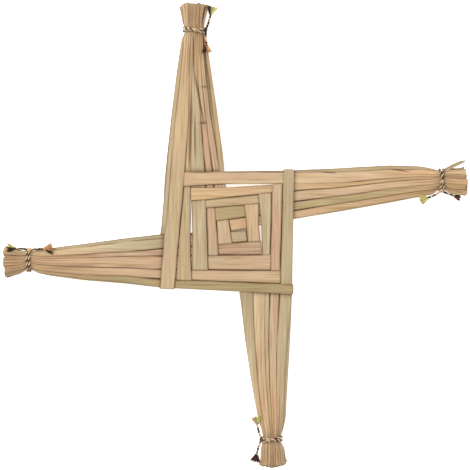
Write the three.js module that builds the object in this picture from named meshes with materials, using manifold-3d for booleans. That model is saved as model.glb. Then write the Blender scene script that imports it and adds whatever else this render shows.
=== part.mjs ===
// A woven rush cross, lying flat, in millimetres with +Z up.
//
// One core rush runs up and down through the middle. Nineteen flat rushes are folded in half over it and over
// one another, turning clockwise, so that each fold clasps every rush of the arm before it and its two legs,
// one in front and one behind, run out along the next arm. The legs of each arm are gathered into a bundle,
// bound with two turns of yarn that is knotted at the side, and fan out again at the cut tips.
//
// Every arm is laid out in its own frame: "along" runs from the middle of the weave to the arm's tip, and
// "across" runs from the middle towards the side where that arm's rushes stack up. Turned a quarter
// clockwise, one arm's frame becomes the next arm's, so the across axis of the next arm is this arm's along
// axis. "Height" is measured from the middle plane, between the front legs and the back legs.

import * as THREE from 'three';
import { mergeVertices } from 'three/addons/utils/BufferGeometryUtils.js';
import Module from 'manifold-3d';

// From the middle of the weave to each arm's tip
const RIGHT_ARM_LENGTH = 149;
const LOWER_ARM_LENGTH = 153.5;
const LEFT_ARM_LENGTH = 150.3;
const UPPER_ARM_LENGTH = 146.5;

// Flat rushes
const RUSH_THICKNESS = 0.8; // a flattened rush in the weave
const CLEARANCE = 0.15; // air between two rushes that touch
const EDGE_BEVEL = 0.35; // width of a flat rush's rounded edge
const OPEN_DIVE = 6; // how far the last rush takes to come down, where no other rush crosses over it

// Lines along an arm where its rushes' widths are given
const CENTRE_LINE = 0;
const BEND_LINE = 28; // only the core rush has widths here
const MOUTH_LINE = 42;

// Gathered bundles
const BELLY_LINE = 70; // from the middle of the weave, where the legs have closed up
const CHEST_LINE = 98;
const SHOULDER_RUN = 13; // from the tie back to where a bundle starts to narrow steeply
const PINCH_RUN = 5; // from the tie to the neck behind it and to the collar past it
const WAIST_HALF_LENGTH = 2.2; // the straight stretch under the yarn, each side of the tie
const TIP_RUN = 5; // the level stretch at the cut end, which the cross lies on
const TIP_RAGGEDNESS = 1.6; // how much shorter the shortest leg of a bundle is cut
const RIB_BEVEL_SHARE = 0.28; // rounded edge of a gathered leg, as a share of its width
const GROOVE_DEPTH = 0.4; // between two gathered legs
const BELLY_HALF_HEIGHT = 2.2;
const CHEST_HALF_HEIGHT = 3.3;
const SHOULDER_HALF_HEIGHT = 4.2;
const NECK_HALF_HEIGHT = 4.9;
const WAIST_HALF_HEIGHT = 4.6;
const COLLAR_HALF_HEIGHT = 5.3;
const TIP_HALF_HEIGHT = 6.6;

// The strip that has split off the right arm's outermost rush and stands away past the yarn
const SPLINTER_RUN = 12.6;
const SPLINTER_REACH = 6.2; // how far its end stands outside the waist
const SPLINTER_ROOT_DEPTH = 1.1; // how far its root lies inside the waist
const SPLINTER_START = 2.4; // from the middle of the yarn
const SPLINTER_RISE = 2.6;
const SPLINTER_WIDTH = 2.1;
const SPLINTER_THICKNESS = 0.5;

// Yarn ties
const YARN_RADIUS = 0.65;
const YARN_CLEARANCE = 0.35; // from the bundle to the yarn
const YARN_TURNS = 2;
const YARN_PITCH = 1.5; // from one turn to the next
const YARN_STEPS_PER_TURN = 12;
const YARN_END_STEPS = 5;
const YARN_SIDES = 6;
const KNOT_HALF_LENGTH = 2.3;
const KNOT_RADIUS = 1.1;
const KNOT_ANGLE = 158; // round the bundle from the stacked side, over the front, in degrees
const TUFT_SHARE = 0.34; // frayed part of a loose end
const TUFT_RADIUS = 2.0;

// A fold passes between two neighbouring rushes of the arm that it clasps.
const SEAM = RUSH_THICKNESS + 2 * CLEARANCE;

// The core rush's edges at the middle of the weave, across the lower arm
const CORE_CENTRE = { inner: -2.6, width: 7.9 };

// The core rush's edges at its bend line, where it leans along the upper arm's first folded rush
const CORE_BEND = { inner: 7.0, width: 2.2 };

// The arms, clockwise from the right one. Rushes are listed outwards from the middle: "centre" and "mouth"
// are a rush's widths at those two lines, "neck" is its share of the tied bundle against the others' shares,
// and "gap" is what it stands off, at the centre line, beyond a seam. "inset" is the innermost edge at those
// lines. "shy" is how much less the front leg of the innermost and of the outermost rush reaches than the back
// leg at the mouth, and "beside" is how far the back legs show beside the front ones along the bundle.
// "offset" and "halfWidth" give a bundle's middle and half its breadth at each of its stations. "ends" are the
// two loose yarn ends, measured from the knot: how far along, how far inwards and how far up.
const ARMS = [
  {
    name: 'right',
    heading: 0,
    length: RIGHT_ARM_LENGTH,
    tail: 17.0,
    inset: { centre: 0, mouth: 8.0 },
    shy: { inner: 0, outer: 1.2 },
    beside: { inner: 0.8, outer: 2.4 },
    rushes: [
      { centre: 6.85, mouth: 4.35, neck: 0.9, gap: 0, colour: 0xd2a878 },
      { centre: 6.9, mouth: 4.5, neck: 1.1, gap: 0, colour: 0xb9a876 },
      { centre: 4.7, mouth: 5.8, neck: 1.1, gap: 0, colour: 0xc6a379 },
      { centre: 5.55, mouth: 3.4, neck: 0.5, gap: 0, colour: 0xd6ae80 },
      { centre: 8.0, mouth: 7.9, neck: 1.5, gap: 1.3, colour: 0xd0b08a, split: true },
    ],
    belly: { offset: 26.15, halfWidth: 13.75 },
    chest: { offset: 29.4, halfWidth: 12.1 },
    shoulder: { offset: 31.35, halfWidth: 9.95 },
    neck: { offset: 31.05, halfWidth: 8.25 },
    waist: { offset: 32.1, halfWidth: 6.0 },
    collar: { offset: 31.45, halfWidth: 8.15 },
    tip: { offset: 31.2, halfWidth: 8.9 },
    ends: [
      { along: -13.5, inwards: 6.2, up: 0.6 },
      { along: 11.5, inwards: 4.2, up: 0.6 },
    ],
  },
  {
    name: 'lower',
    heading: -90,
    length: LOWER_ARM_LENGTH,
    tail: 18.8,
    inset: { centre: CORE_CENTRE.inner, mouth: 2.2 },
    shy: { inner: 0, outer: 0 },
    beside: { inner: 0.6, outer: 1.6 },
    rushes: [
      { core: true, centre: CORE_CENTRE.width, mouth: 8.0, neck: 0.8, gap: 0, colour: 0xc4ab82 },
      { centre: 7.2, mouth: 6.4, neck: 1.3, gap: 0.9, colour: 0xd8b488 },
      { centre: 5.4, mouth: 2.1, neck: 0.5, gap: 0.7, colour: 0xc6b187 },
      { centre: 5.7, mouth: 5.2, neck: 1.1, gap: 0, colour: 0xcfa783 },
      { centre: 6.8, mouth: 7.4, neck: 1.3, gap: 0, colour: 0xcab28a },
    ],
    belly: { offset: 20.0, halfWidth: 14.6 },
    chest: { offset: 21.25, halfWidth: 11.65 },
    shoulder: { offset: 22.75, halfWidth: 8.95 },
    neck: { offset: 23.15, halfWidth: 6.75 },
    waist: { offset: 22.7, halfWidth: 5.7 },
    collar: { offset: 23.2, halfWidth: 7.6 },
    tip: { offset: 23.6, halfWidth: 8.7 },
    ends: [
      { along: -14.3, inwards: 3.6, up: 1.0 },
      { along: 14, inwards: 4.0, up: 0.8 },
    ],
  },
  {
    name: 'left',
    heading: 180,
    length: LEFT_ARM_LENGTH,
    tail: 16.9,
    inset: { centre: 0.7, mouth: 2.6 },
    shy: { inner: 2.2, outer: 0 },
    beside: { inner: 1.9, outer: 0.8 },
    rushes: [
      { centre: 7.0, mouth: 8.65, neck: 1.2, gap: 0, colour: 0xb7ab8a },
      { centre: 6.85, mouth: 3.9, neck: 0.5, gap: 0, colour: 0xb98f74 },
      { centre: 8.65, mouth: 7.7, neck: 1.5, gap: 0, colour: 0xcba784 },
      { centre: 6.6, mouth: 5.3, neck: 1.2, gap: 0, colour: 0xc9ab7d },
      { centre: 5.4, mouth: 4.9, neck: 0.7, gap: 0, colour: 0xa7a06c },
    ],
    belly: { offset: 20.05, halfWidth: 14.75 },
    chest: { offset: 20.75, halfWidth: 11.75 },
    shoulder: { offset: 20.7, halfWidth: 8.8 },
    neck: { offset: 20.35, halfWidth: 7.35 },
    waist: { offset: 19.7, halfWidth: 6.0 },
    collar: { offset: 20.7, halfWidth: 7.5 },
    tip: { offset: 20.7, halfWidth: 9.9 },
    ends: [
      { along: -14.7, inwards: 2.3, up: 1.2 },
      { along: 13.3, inwards: 3.2, up: 1.0 },
    ],
  },
  {
    name: 'upper',
    heading: 90,
    length: UPPER_ARM_LENGTH,
    tail: 18.1,
    inset: { centre: -CORE_CENTRE.inner - CORE_CENTRE.width, mouth: 8.0 },
    shy: { inner: 0, outer: 3.0 },
    beside: { inner: 2.2, outer: 2.6 },
    rushes: [
      {
        core: true,
        centre: CORE_CENTRE.width,
        mouth: 2.9,
        neck: 0.6,
        gap: 0,
        colour: 0xc4ab82,
        bend: CORE_BEND,
      },
      { centre: 7.4, mouth: 3.1, neck: 0.9, gap: 0.9, colour: 0xc8b389 },
      { centre: 5.2, mouth: 3.5, neck: 0.8, gap: 0, colour: 0xcaa485 },
      { centre: 8.7, mouth: 8.2, neck: 1.2, gap: 0, colour: 0xb3a883 },
      { centre: 5.6, mouth: 2.1, neck: 0.5, gap: 0.8, colour: 0xbfa47c },
      { centre: 9.5, mouth: 11.7, neck: 2.0, gap: 0.4, colour: 0xcfb185 },
    ],
    belly: { offset: 26.95, halfWidth: 15.35 },
    chest: { offset: 27.25, halfWidth: 11.65 },
    shoulder: { offset: 27.35, halfWidth: 9.15 },
    neck: { offset: 27.1, halfWidth: 8.0 },
    waist: { offset: 27.0, halfWidth: 6.2 },
    collar: { offset: 27.6, halfWidth: 7.2 },
    tip: { offset: 27.2, halfWidth: 9.3 },
    ends: [
      { along: -14.2, inwards: 0.9, up: 3.8 },
      { along: 14.6, inwards: 4.4, up: 1.2 },
    ],
  },
];

// Heights of the layers, the same behind the middle plane as in front of it
const UNDER = { bottom: CLEARANCE / 2, top: CLEARANCE / 2 + RUSH_THICKNESS };
const OVER = { bottom: UNDER.top + CLEARANCE, top: UNDER.top + CLEARANCE + RUSH_THICKNESS };

const wasm = await Module();
wasm.setup();

// The value at t on the straight line from a, at 0, to b, at 1
function mix(a, b, t) {
  return a + (b - a) * t;
}

// An edge of a rush in the weave is the line across = at + slope * along.
function edgeThrough(alongA, acrossA, alongB, acrossB) {
  const slope = (acrossB - acrossA) / (alongB - alongA);
  return { at: acrossA - slope * alongA, slope };
}

function acrossOf(edge, along) {
  return edge.at + edge.slope * along;
}

// Gives each rush of an arm its inner and outer edge line, each rush a seam outside the one before.
function layOut(arm) {
  let { centre, mouth } = arm.inset;
  arm.rushes.forEach((rush, place) => {
    if (place > 0) {
      centre += SEAM + rush.gap;
      mouth += SEAM;
    }
    const mouthColumn = [mouth, mouth + rush.mouth];
    rush.mouthColumn = mouthColumn;
    rush.inner = edgeThrough(CENTRE_LINE, centre, MOUTH_LINE, mouthColumn[0]);
    rush.outer = edgeThrough(CENTRE_LINE, centre + rush.centre, MOUTH_LINE, mouthColumn[1]);
    if (rush.bend) {
      const { inner, width } = rush.bend;
      rush.inner = edgeThrough(CENTRE_LINE, centre, BEND_LINE, inner);
      rush.outer = edgeThrough(CENTRE_LINE, centre + rush.centre, BEND_LINE, inner + width);
    }
    centre += rush.centre;
    mouth += rush.mouth;
    rush.place = place;
  });
  const folded = arm.rushes.filter((rush) => !rush.core);
  folded[0].shyInner = arm.shy.inner;
  folded[folded.length - 1].shyOuter = arm.shy.outer;
  arm.tie = arm.length - arm.tail;
  arm.firstRound = arm.rushes[0].core && arm.name === 'upper' ? 1 : 0;
}

ARMS.forEach(layOut);

// The arm whose rushes this arm's folds clasp, and the arm whose folds clasp this arm's rushes
function armBefore(index) {
  return ARMS[(index + ARMS.length - 1) % ARMS.length];
}
function armAfter(index) {
  return ARMS[(index + 1) % ARMS.length];
}

// Where an edge of this arm meets an edge of the arm before it, whose across axis points back along this arm
function meetBefore(edge, other) {
  return (-other.at - other.slope * edge.at) / (1 + other.slope * edge.slope);
}

// Where an edge of this arm meets an edge of the arm after it, whose across axis is this arm's along axis
function meetAfter(edge, other) {
  return (other.at - other.slope * edge.at) / (1 + other.slope * edge.slope);
}

// The two ends of a section, one on each edge: how far along and how far across
function corners(edges, along) {
  return edges.map((edge) => ({ along: along(edge), across: acrossOf(edge, along(edge)) }));
}

// An edge turned about its point at the fold, so that it stands off by a reach at the mouth
function turned(edge, foldAlong, reach) {
  const start = acrossOf(edge, foldAlong);
  return edgeThrough(foldAlong, start, MOUTH_LINE, acrossOf(edge, MOUTH_LINE) + reach);
}

// A six-cornered section between two ends. Each face gives a shift along the rush and two heights: the
// inner face is the one towards the middle plane, and the outer face is narrower by the bevels.
function section([start, end], bevel, inner, edge, outer) {
  const breadth = end.across - start.across;
  const point = (inset, face, side) => {
    const share = inset / breadth;
    return new THREE.Vector3(
      mix(start.along, end.along, share) + face.shift,
      mix(start.across, end.across, share),
      face.heights[side],
    );
  };
  return [
    point(0, inner, 0),
    point(breadth, inner, 1),
    point(breadth, edge, 1),
    point(breadth - bevel, outer, 1),
    point(bevel, outer, 0),
    point(0, edge, 0),
  ];
}

// A face with the same height from end to end
function level(height, shift = 0) {
  return { shift, heights: [height, height] };
}

// A flat strip's section in a layer. Side is 1 in front and -1 behind.
function flatSection(ends, side, { bottom, top }) {
  const middle = mix(bottom, top, 0.5);
  return section(ends, EDGE_BEVEL, level(side * bottom), level(side * middle), level(side * top));
}

// The fold, from the front leg to the back leg, round the clasped edge that it starts from
function foldSections(ends) {
  const cornerHeight = OVER.bottom - CLEARANCE;
  const outerReach = CLEARANCE + RUSH_THICKNESS;
  const half = { shift: -CLEARANCE / 2, height: OVER.bottom - CLEARANCE / 2 };
  const shoulder = { shift: -0.72 * outerReach, height: OVER.top - 0.28 * RUSH_THICKNESS };
  const bend = (sign) =>
    section(
      ends,
      EDGE_BEVEL,
      level(sign * half.height, half.shift),
      level(sign * mix(half.height, shoulder.height, 0.5), mix(half.shift, shoulder.shift, 0.5)),
      level(sign * shoulder.height, shoulder.shift),
    );
  const side = (sign) =>
    section(
      ends,
      EDGE_BEVEL,
      level(sign * cornerHeight, -CLEARANCE),
      level(sign * cornerHeight, -mix(CLEARANCE, outerReach, 0.5)),
      level(sign * cornerHeight, -outerReach),
    );
  return [bend(1), side(1), side(-1), bend(-1)];
}

// Splits a bundle's breadth into one column for each rush of the arm. Evenness 0 keeps the rushes' shares at
// the mouth, and 1 gives them their shares of the tied bundle.
function columns(arm, bundle, evenness) {
  const breadth = 2 * bundle.halfWidth - (arm.rushes.length - 1) * CLEARANCE;
  const total = (size) => arm.rushes.reduce((sum, rush) => sum + rush[size], 0);
  const [mouths, necks] = [total('mouth'), total('neck')];
  let across = bundle.offset - bundle.halfWidth;
  return arm.rushes.map((rush) => {
    const width = breadth * mix(rush.mouth / mouths, rush.neck / necks, evenness);
    const column = [across, across + width];
    across += width + CLEARANCE;
    return column;
  });
}

// The narrower bundle of the front legs, where a share of the back legs' strips shows beside it
function frontBundle(arm, bundle, share) {
  const { inner, outer } = arm.beside;
  return {
    offset: bundle.offset + (share * (inner - outer)) / 2,
    halfWidth: bundle.halfWidth - (share * (inner + outer)) / 2,
  };
}

// Height of a bundle's rounded surface
function dome(bundle, halfHeight, across) {
  const reach = (across - bundle.offset) / bundle.halfWidth;
  return halfHeight * Math.sqrt(Math.max(0, 1 - reach * reach));
}

// Heights of a gathered leg at its edges and at the corners of its outer face
function ribHeights(bundle, halfHeight, [from, to], bevel) {
  const lowest = mix(UNDER.bottom, UNDER.top, 0.5);
  const edge = (across) => Math.max(lowest, dome(bundle, halfHeight, across) - GROOVE_DEPTH);
  const outer = (across) => Math.max(UNDER.top, dome(bundle, halfHeight, across));
  return { edge: [edge(from), edge(to)], outer: [outer(from + bevel), outer(to - bevel)] };
}

// The places along an arm where its bundle's shape is given, outwards from the weave: how far along, the
// bundle, its half height, its evenness and how much of the back legs' strips shows beside the front legs
function bundleStations(arm) {
  return [
    [BELLY_LINE, arm.belly, BELLY_HALF_HEIGHT, 0.5, 1],
    [CHEST_LINE, arm.chest, CHEST_HALF_HEIGHT, 0.85, 1],
    [arm.tie - SHOULDER_RUN, arm.shoulder, SHOULDER_HALF_HEIGHT, 1, 0.8],
    [arm.tie - PINCH_RUN, arm.neck, NECK_HALF_HEIGHT, 1, 0.5],
    [arm.tie - WAIST_HALF_LENGTH, arm.waist, WAIST_HALF_HEIGHT, 1, 0],
    [arm.tie + WAIST_HALF_LENGTH, arm.waist, WAIST_HALF_HEIGHT, 1, 0],
    [arm.tie + PINCH_RUN, arm.collar, COLLAR_HALF_HEIGHT, 1, 0.3],
    [arm.length - TIP_RUN, arm.tip, TIP_HALF_HEIGHT, 1, 0.5],
    [arm.length, arm.tip, TIP_HALF_HEIGHT, 1, 0.5],
  ];
}

// How much shorter than its arm a leg is cut, in a pattern that looks uneven
function cutShort(place, behind) {
  return (TIP_RAGGEDNESS * ((place * 3 + (behind ? 2 : 0)) % 5)) / 4;
}

// A gathered leg's sections, outwards. Side is 1 in front and -1 behind.
function gatheredSections(arm, place, side) {
  const stations = bundleStations(arm);
  return stations.map(([along, whole, halfHeight, evenness, share], index) => {
    const bundle = side > 0 ? frontBundle(arm, whole, share) : whole;
    const column = columns(arm, bundle, evenness)[place];
    const bevel = RIB_BEVEL_SHARE * (column[1] - column[0]);
    const { edge, outer } = ribHeights(bundle, halfHeight, column, bevel);
    const cut = index === stations.length - 1 ? cutShort(place, side < 0) : 0;
    const ends = column.map((across) => ({ along: along - cut, across }));
    const signed = (heights) => ({ shift: 0, heights: heights.map((height) => side * height) });
    return section(ends, bevel, level(side * UNDER.bottom), signed(edge), signed(outer));
  });
}

// Where a folded rush starts, and its flat sections' ends on both legs, outwards from the fold
function crossings(index, rush) {
  const before = armBefore(index);
  const after = armAfter(index);
  const clasped = before.rushes[rush.place - ARMS[index].firstRound];
  const innermost = before.rushes[0];
  const above = after.rushes.find(
    (other) => !other.core && other.place - after.firstRound >= rush.place,
  );
  const outermost = after.rushes[after.rushes.length - 1];
  const foldAt = (edge) => meetBefore(edge, clasped.outer);
  const overEnd = (edge) => meetBefore(edge, innermost.inner);
  const underStart = (edge) => (above ? meetAfter(edge, above.inner) : overEnd(edge) + OPEN_DIVE);
  const mouth = (edge) => meetAfter(edge, outermost.outer) + CLEARANCE;
  const back = [rush.inner, rush.outer];
  const front = [
    turned(rush.inner, foldAt(rush.inner), rush.shyInner ?? 0),
    turned(rush.outer, foldAt(rush.outer), -(rush.shyOuter ?? 0)),
  ];
  const legOf = (edges) => [foldAt, overEnd, underStart, mouth].map((at) => corners(edges, at));
  return { fold: corners(back, foldAt), front: legOf(front), back: legOf(back) };
}

// A folded rush: the front leg from its tip to the fold, then the back leg out again
function foldedRush(index, rush) {
  const arm = ARMS[index];
  const { fold, front, back } = crossings(index, rush);
  const layers = [OVER, OVER, UNDER, UNDER];
  const leg = (ends, side) => [
    ...ends.map((pair, station) => flatSection(pair, side, layers[station])),
    ...gatheredSections(arm, rush.place, side),
  ];
  return loft([...leg(front, 1).reverse(), ...foldSections(fold), ...leg(back, -1)]);
}

// The split strip, from inside its rush just past the yarn to its free end
function splinter(arm) {
  const waistEdge = arm.waist.offset + arm.waist.halfWidth;
  const start = new THREE.Vector3(arm.tie + SPLINTER_START, waistEdge - SPLINTER_ROOT_DEPTH, UNDER.top);
  const reach = new THREE.Vector3(SPLINTER_RUN, SPLINTER_REACH + SPLINTER_ROOT_DEPTH, SPLINTER_RISE);
  const ring = (middle) =>
    [
      [-1, -1],
      [1, -1],
      [1, 1],
      [-1, 1],
    ].map(([across, up]) => {
      const corner = new THREE.Vector3(0, (across * SPLINTER_WIDTH) / 2, (up * SPLINTER_THICKNESS) / 2);
      return corner.add(middle);
    });
  return loft([ring(start), ring(start.clone().add(reach))]);
}

// An eight-cornered section of the core rush, as thick as a front leg and a back leg together
function coreSection(along, [from, to], bevel, edge, outer) {
  const point = (across, height) => new THREE.Vector3(along, across, height);
  return [
    point(from, -edge[0]),
    point(from, edge[0]),
    point(from + bevel, outer[0]),
    point(to - bevel, outer[1]),
    point(to, edge[1]),
    point(to, -edge[1]),
    point(to - bevel, -outer[1]),
    point(from + bevel, -outer[0]),
  ];
}

// The core rush's sections on one arm, outwards from the middle of the weave
function coreHalf(arm) {
  const rush = arm.rushes[0];
  const edge = mix(UNDER.bottom, UNDER.top, 0.5);
  const flat = (along, column) =>
    coreSection(along, column, EDGE_BEVEL, [edge, edge], [UNDER.top, UNDER.top]);
  const between = [CENTRE_LINE, BEND_LINE].map((along) =>
    flat(along, [acrossOf(rush.inner, along), acrossOf(rush.outer, along)]),
  );
  const gathered = bundleStations(arm).map(([along, bundle, halfHeight, evenness]) => {
    const column = columns(arm, bundle, evenness)[0];
    const bevel = RIB_BEVEL_SHARE * (column[1] - column[0]);
    const { edge, outer } = ribHeights(bundle, halfHeight, column, bevel);
    return coreSection(along, column, bevel, edge, outer);
  });
  return [...between, flat(MOUTH_LINE, rush.mouthColumn), ...gathered];
}

// The core rush, in the upper arm's frame, from the upper tip to the lower one
function coreRush() {
  const arms = ['upper', 'lower'].map((name) => ARMS.find((arm) => arm.name === name));
  const [upper, lower] = arms.map(coreHalf);
  const halfTurn = lower.slice(1).map((ring) => {
    const turned = ring.map((point) => new THREE.Vector3(-point.x, -point.y, point.z));
    return [5, 4, 3, 2, 1, 0, 7, 6].map((corner) => turned[corner]);
  });
  return loft([...upper.reverse(), ...halfTurn]);
}

// A closed body through a row of rings that all have the same number of corners
function loft(rings) {
  const size = rings[0].length;
  const positions = rings.flat().flatMap((point) => point.toArray());
  const faces = [];
  for (let row = 0; row + 1 < rings.length; row++) {
    for (let corner = 0; corner < size; corner++) {
      const next = (corner + 1) % size;
      const [a, b] = [row * size + corner, row * size + next];
      faces.push(a, b, b + size, a, b + size, a + size);
    }
  }
  const last = (rings.length - 1) * size;
  for (let corner = 1; corner + 1 < size; corner++) {
    faces.push(0, corner + 1, corner);
    faces.push(last, last + corner, last + corner + 1);
  }
  return facingOut(positions, faces);
}

// Six times the volume that the faces enclose, which is negative where they face inwards
function signedVolume(positions, faces) {
  const corner = (vertex) => new THREE.Vector3().fromArray(positions, 3 * vertex);
  let sum = 0;
  for (let face = 0; face < faces.length; face += 3) {
    const [a, b, c] = faces.slice(face, face + 3).map(corner);
    sum += a.dot(b.cross(c));
  }
  return sum;
}

// A geometry whose faces are turned round if they would face inwards
function facingOut(positions, faces) {
  if (signedVolume(positions, faces) < 0) faces.reverse();
  const geometry = new THREE.BufferGeometry();
  geometry.setAttribute('position', new THREE.Float32BufferAttribute(positions, 3));
  geometry.setIndex(faces);
  return geometry;
}

// A rod of changing thickness along a curve
function rod(curve, steps, radiusAt) {
  const frames = curve.computeFrenetFrames(steps, false);
  const rings = [];
  for (let step = 0; step <= steps; step++) {
    const middle = curve.getPoint(step / steps);
    const ring = [];
    for (let side = 0; side < YARN_SIDES; side++) {
      const angle = (2 * Math.PI * side) / YARN_SIDES;
      const radius = radiusAt(step / steps);
      const outward = frames.normals[step].clone().multiplyScalar(Math.cos(angle) * radius);
      outward.addScaledVector(frames.binormals[step], Math.sin(angle) * radius);
      ring.push(middle.clone().add(outward));
    }
    rings.push(ring);
  }
  return loft(rings);
}

// A point round a tied bundle, at a distance outside it
function roundWaist(arm, angle, along, distance) {
  return new THREE.Vector3(
    along,
    arm.waist.offset + (arm.waist.halfWidth + distance) * Math.cos(angle),
    (WAIST_HALF_HEIGHT + distance) * Math.sin(angle),
  );
}

// The yarn's turns round the waist, which start and end inside the knot
function yarnTurns(arm) {
  const steps = YARN_TURNS * YARN_STEPS_PER_TURN;
  const start = THREE.MathUtils.degToRad(KNOT_ANGLE);
  const points = [];
  for (let step = 0; step <= steps; step++) {
    const turn = step / YARN_STEPS_PER_TURN;
    const along = arm.tie + YARN_PITCH * (turn - YARN_TURNS / 2);
    points.push(roundWaist(arm, start + 2 * Math.PI * turn, along, YARN_CLEARANCE + YARN_RADIUS));
  }
  return rod(new THREE.CatmullRomCurve3(points), steps, () => YARN_RADIUS);
}

// The middle of the knot, which lies against the side of the bundle
function knotMiddle(arm) {
  const angle = THREE.MathUtils.degToRad(KNOT_ANGLE);
  return roundWaist(arm, angle, arm.tie, YARN_CLEARANCE + KNOT_RADIUS);
}

function knot(arm) {
  const ball = new THREE.SphereGeometry(KNOT_RADIUS, 7, 5);
  ball.rotateZ(Math.PI / 2);
  ball.scale(KNOT_HALF_LENGTH / KNOT_RADIUS, 1, 1);
  const { x, y, z } = knotMiddle(arm);
  ball.translate(x, y, z);
  return ball;
}

// A loose end of the yarn with its frayed tuft, which bows outwards on its way
function yarnEnd(arm, end) {
  const from = knotMiddle(arm);
  const reach = (share, sideways) =>
    from.clone().add(new THREE.Vector3(end.along * share, -end.inwards * sideways, end.up * sideways));
  const curve = new THREE.CatmullRomCurve3([from, reach(0.3, 0.42), reach(0.65, 0.75), reach(1, 1)]);
  const intoTuft = (share) => Math.max(0, (share - 1 + TUFT_SHARE) / TUFT_SHARE);
  return rod(curve, YARN_END_STEPS, (share) => mix(YARN_RADIUS, TUFT_RADIUS, intoTuft(share)));
}

// A closed geometry as a solid that can be joined
function solidOf(geometry) {
  const bare = geometry.clone();
  bare.deleteAttribute('normal');
  bare.deleteAttribute('uv');
  const merged = mergeVertices(bare, 1e-4);
  return new wasm.Manifold(
    new wasm.Mesh({
      numProp: 3,
      vertProperties: merged.attributes.position.array,
      triVerts: new Uint32Array(merged.index.array),
    }),
  );
}

function geometryOf(solid) {
  const mesh = solid.getMesh();
  const geometry = new THREE.BufferGeometry();
  geometry.setAttribute('position', new THREE.BufferAttribute(mesh.vertProperties, 3));
  geometry.setIndex(new THREE.BufferAttribute(mesh.triVerts, 1));
  return geometry;
}

function joined(pieces) {
  return geometryOf(pieces.map(solidOf).reduce((whole, piece) => whole.add(piece)));
}

// A yarn tie: its turns, its knot and its two loose ends in one body
function yarnTie(arm) {
  return joined([yarnTurns(arm), knot(arm), ...arm.ends.map((end) => yarnEnd(arm, end))]);
}

function finish(colour, roughness) {
  return new THREE.MeshStandardMaterial({ color: colour, roughness, metalness: 0 });
}

function namedMesh(name, geometry, material) {
  const mesh = new THREE.Mesh(geometry, material);
  mesh.name = name;
  return mesh;
}

const RUSH_ROUGHNESS = 0.62;
const YARN_ROUGHNESS = 0.9;
const YARN_COLOUR = 0x8a6f52;

// One arm's folded rushes and its tie, turned to the arm's heading
function armGroup(arm, index) {
  const group = new THREE.Group();
  const folded = arm.rushes.filter((rush) => !rush.core);
  folded.forEach((rush, order) => {
    const name = `${arm.name}_rush_${order + 1}`;
    const whole = foldedRush(index, rush);
    const geometry = rush.split ? joined([whole, splinter(arm)]) : whole;
    group.add(namedMesh(name, geometry, finish(rush.colour, RUSH_ROUGHNESS)));
  });
  group.add(namedMesh(`${arm.name}_tie`, yarnTie(arm), finish(YARN_COLOUR, YARN_ROUGHNESS)));
  group.rotation.z = THREE.MathUtils.degToRad(arm.heading);
  return group;
}

// The whole cross, with its origin at the middle of its footprint, on the surface that it lies on
function wovenCross() {
  const cross = new THREE.Group();
  ARMS.forEach((arm, index) => cross.add(armGroup(arm, index)));
  const upper = ARMS.find((arm) => arm.name === 'upper');
  const core = namedMesh('core_rush', coreRush(), finish(upper.rushes[0].colour, RUSH_ROUGHNESS));
  core.rotation.z = THREE.MathUtils.degToRad(upper.heading);
  cross.add(core);
  const box = new THREE.Box3().setFromObject(cross, true);
  const middle = box.getCenter(new THREE.Vector3());
  cross.position.set(-middle.x, -middle.y, -box.min.z);
  return cross;
}

export default wovenCross();
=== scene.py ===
"""Looks of a woven rush cross that lies flat: folded rushes, yarn ties, a pale floor and soft light.

Sizes are in millimetres in each arm's own frame, as in the part's source. "Along" runs from the middle of
the weave to the arm's tip. "Across" runs towards the side where that arm's rushes stack up. Height is
measured from the middle plane between the front and the back legs.
"""

import logging
import math
from dataclasses import dataclass, field, replace
from enum import Enum

import bpy
import numpy as np
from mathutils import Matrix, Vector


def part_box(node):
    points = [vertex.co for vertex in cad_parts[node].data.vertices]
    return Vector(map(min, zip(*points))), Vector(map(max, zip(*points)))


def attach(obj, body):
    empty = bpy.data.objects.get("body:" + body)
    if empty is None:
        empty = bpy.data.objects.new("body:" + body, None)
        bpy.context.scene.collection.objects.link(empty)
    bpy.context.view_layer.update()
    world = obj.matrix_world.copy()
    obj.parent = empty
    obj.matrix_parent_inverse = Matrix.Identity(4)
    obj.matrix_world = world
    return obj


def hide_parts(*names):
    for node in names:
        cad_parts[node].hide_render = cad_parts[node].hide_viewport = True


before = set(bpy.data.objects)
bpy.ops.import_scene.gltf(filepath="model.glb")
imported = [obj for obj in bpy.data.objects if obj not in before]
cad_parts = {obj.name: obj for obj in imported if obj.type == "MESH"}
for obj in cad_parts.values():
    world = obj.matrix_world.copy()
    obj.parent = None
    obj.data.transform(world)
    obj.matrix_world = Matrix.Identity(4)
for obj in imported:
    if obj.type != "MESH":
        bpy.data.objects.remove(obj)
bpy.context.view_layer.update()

LOG = logging.getLogger("rush_cross")
MM = 0.001
BODY = "root"

# Flat rushes
RUSH_THICKNESS = 0.8
CLEARANCE = 0.15
OPEN_DIVE = 6.0
SEAM = RUSH_THICKNESS + 2 * CLEARANCE
UNDER = (CLEARANCE / 2, CLEARANCE / 2 + RUSH_THICKNESS)
OVER = (UNDER[1] + CLEARANCE, UNDER[1] + CLEARANCE + RUSH_THICKNESS)

# How far a rush's soft edges spread over its seams, and its roundness as a superellipse's power
SEAM_OVERHANG = 0.42
SEAM_OVERHANG_PER_GAP = 0.3
CLOSED_OVERHANG = 0.1
SLIT_OVERHANG = 0.22
FREE_OVERHANG = 0.1
BUNDLE_OVERHANG = 0.17
EDGE_ROUNDNESS = 3.2

# A folded leg at its fold, its last place on top, its dive and its mouth: how far a slit is open there, and
# the share of the rush's flare in front and behind
SLIT_OPENNESS = (0, 1, 0.6, 0)
FRONT_FLARES = (1, 0.6, 0.2, 0)
BACK_FLARES = (1.6, 2.0, 1.4, 0.4)

# How far the corners between straight runs are rounded
CORNER_REACH = 2.0

# Lines along an arm where its rushes' widths are given
BEND_LINE = 28.0
MOUTH_LINE = 42.0

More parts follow.
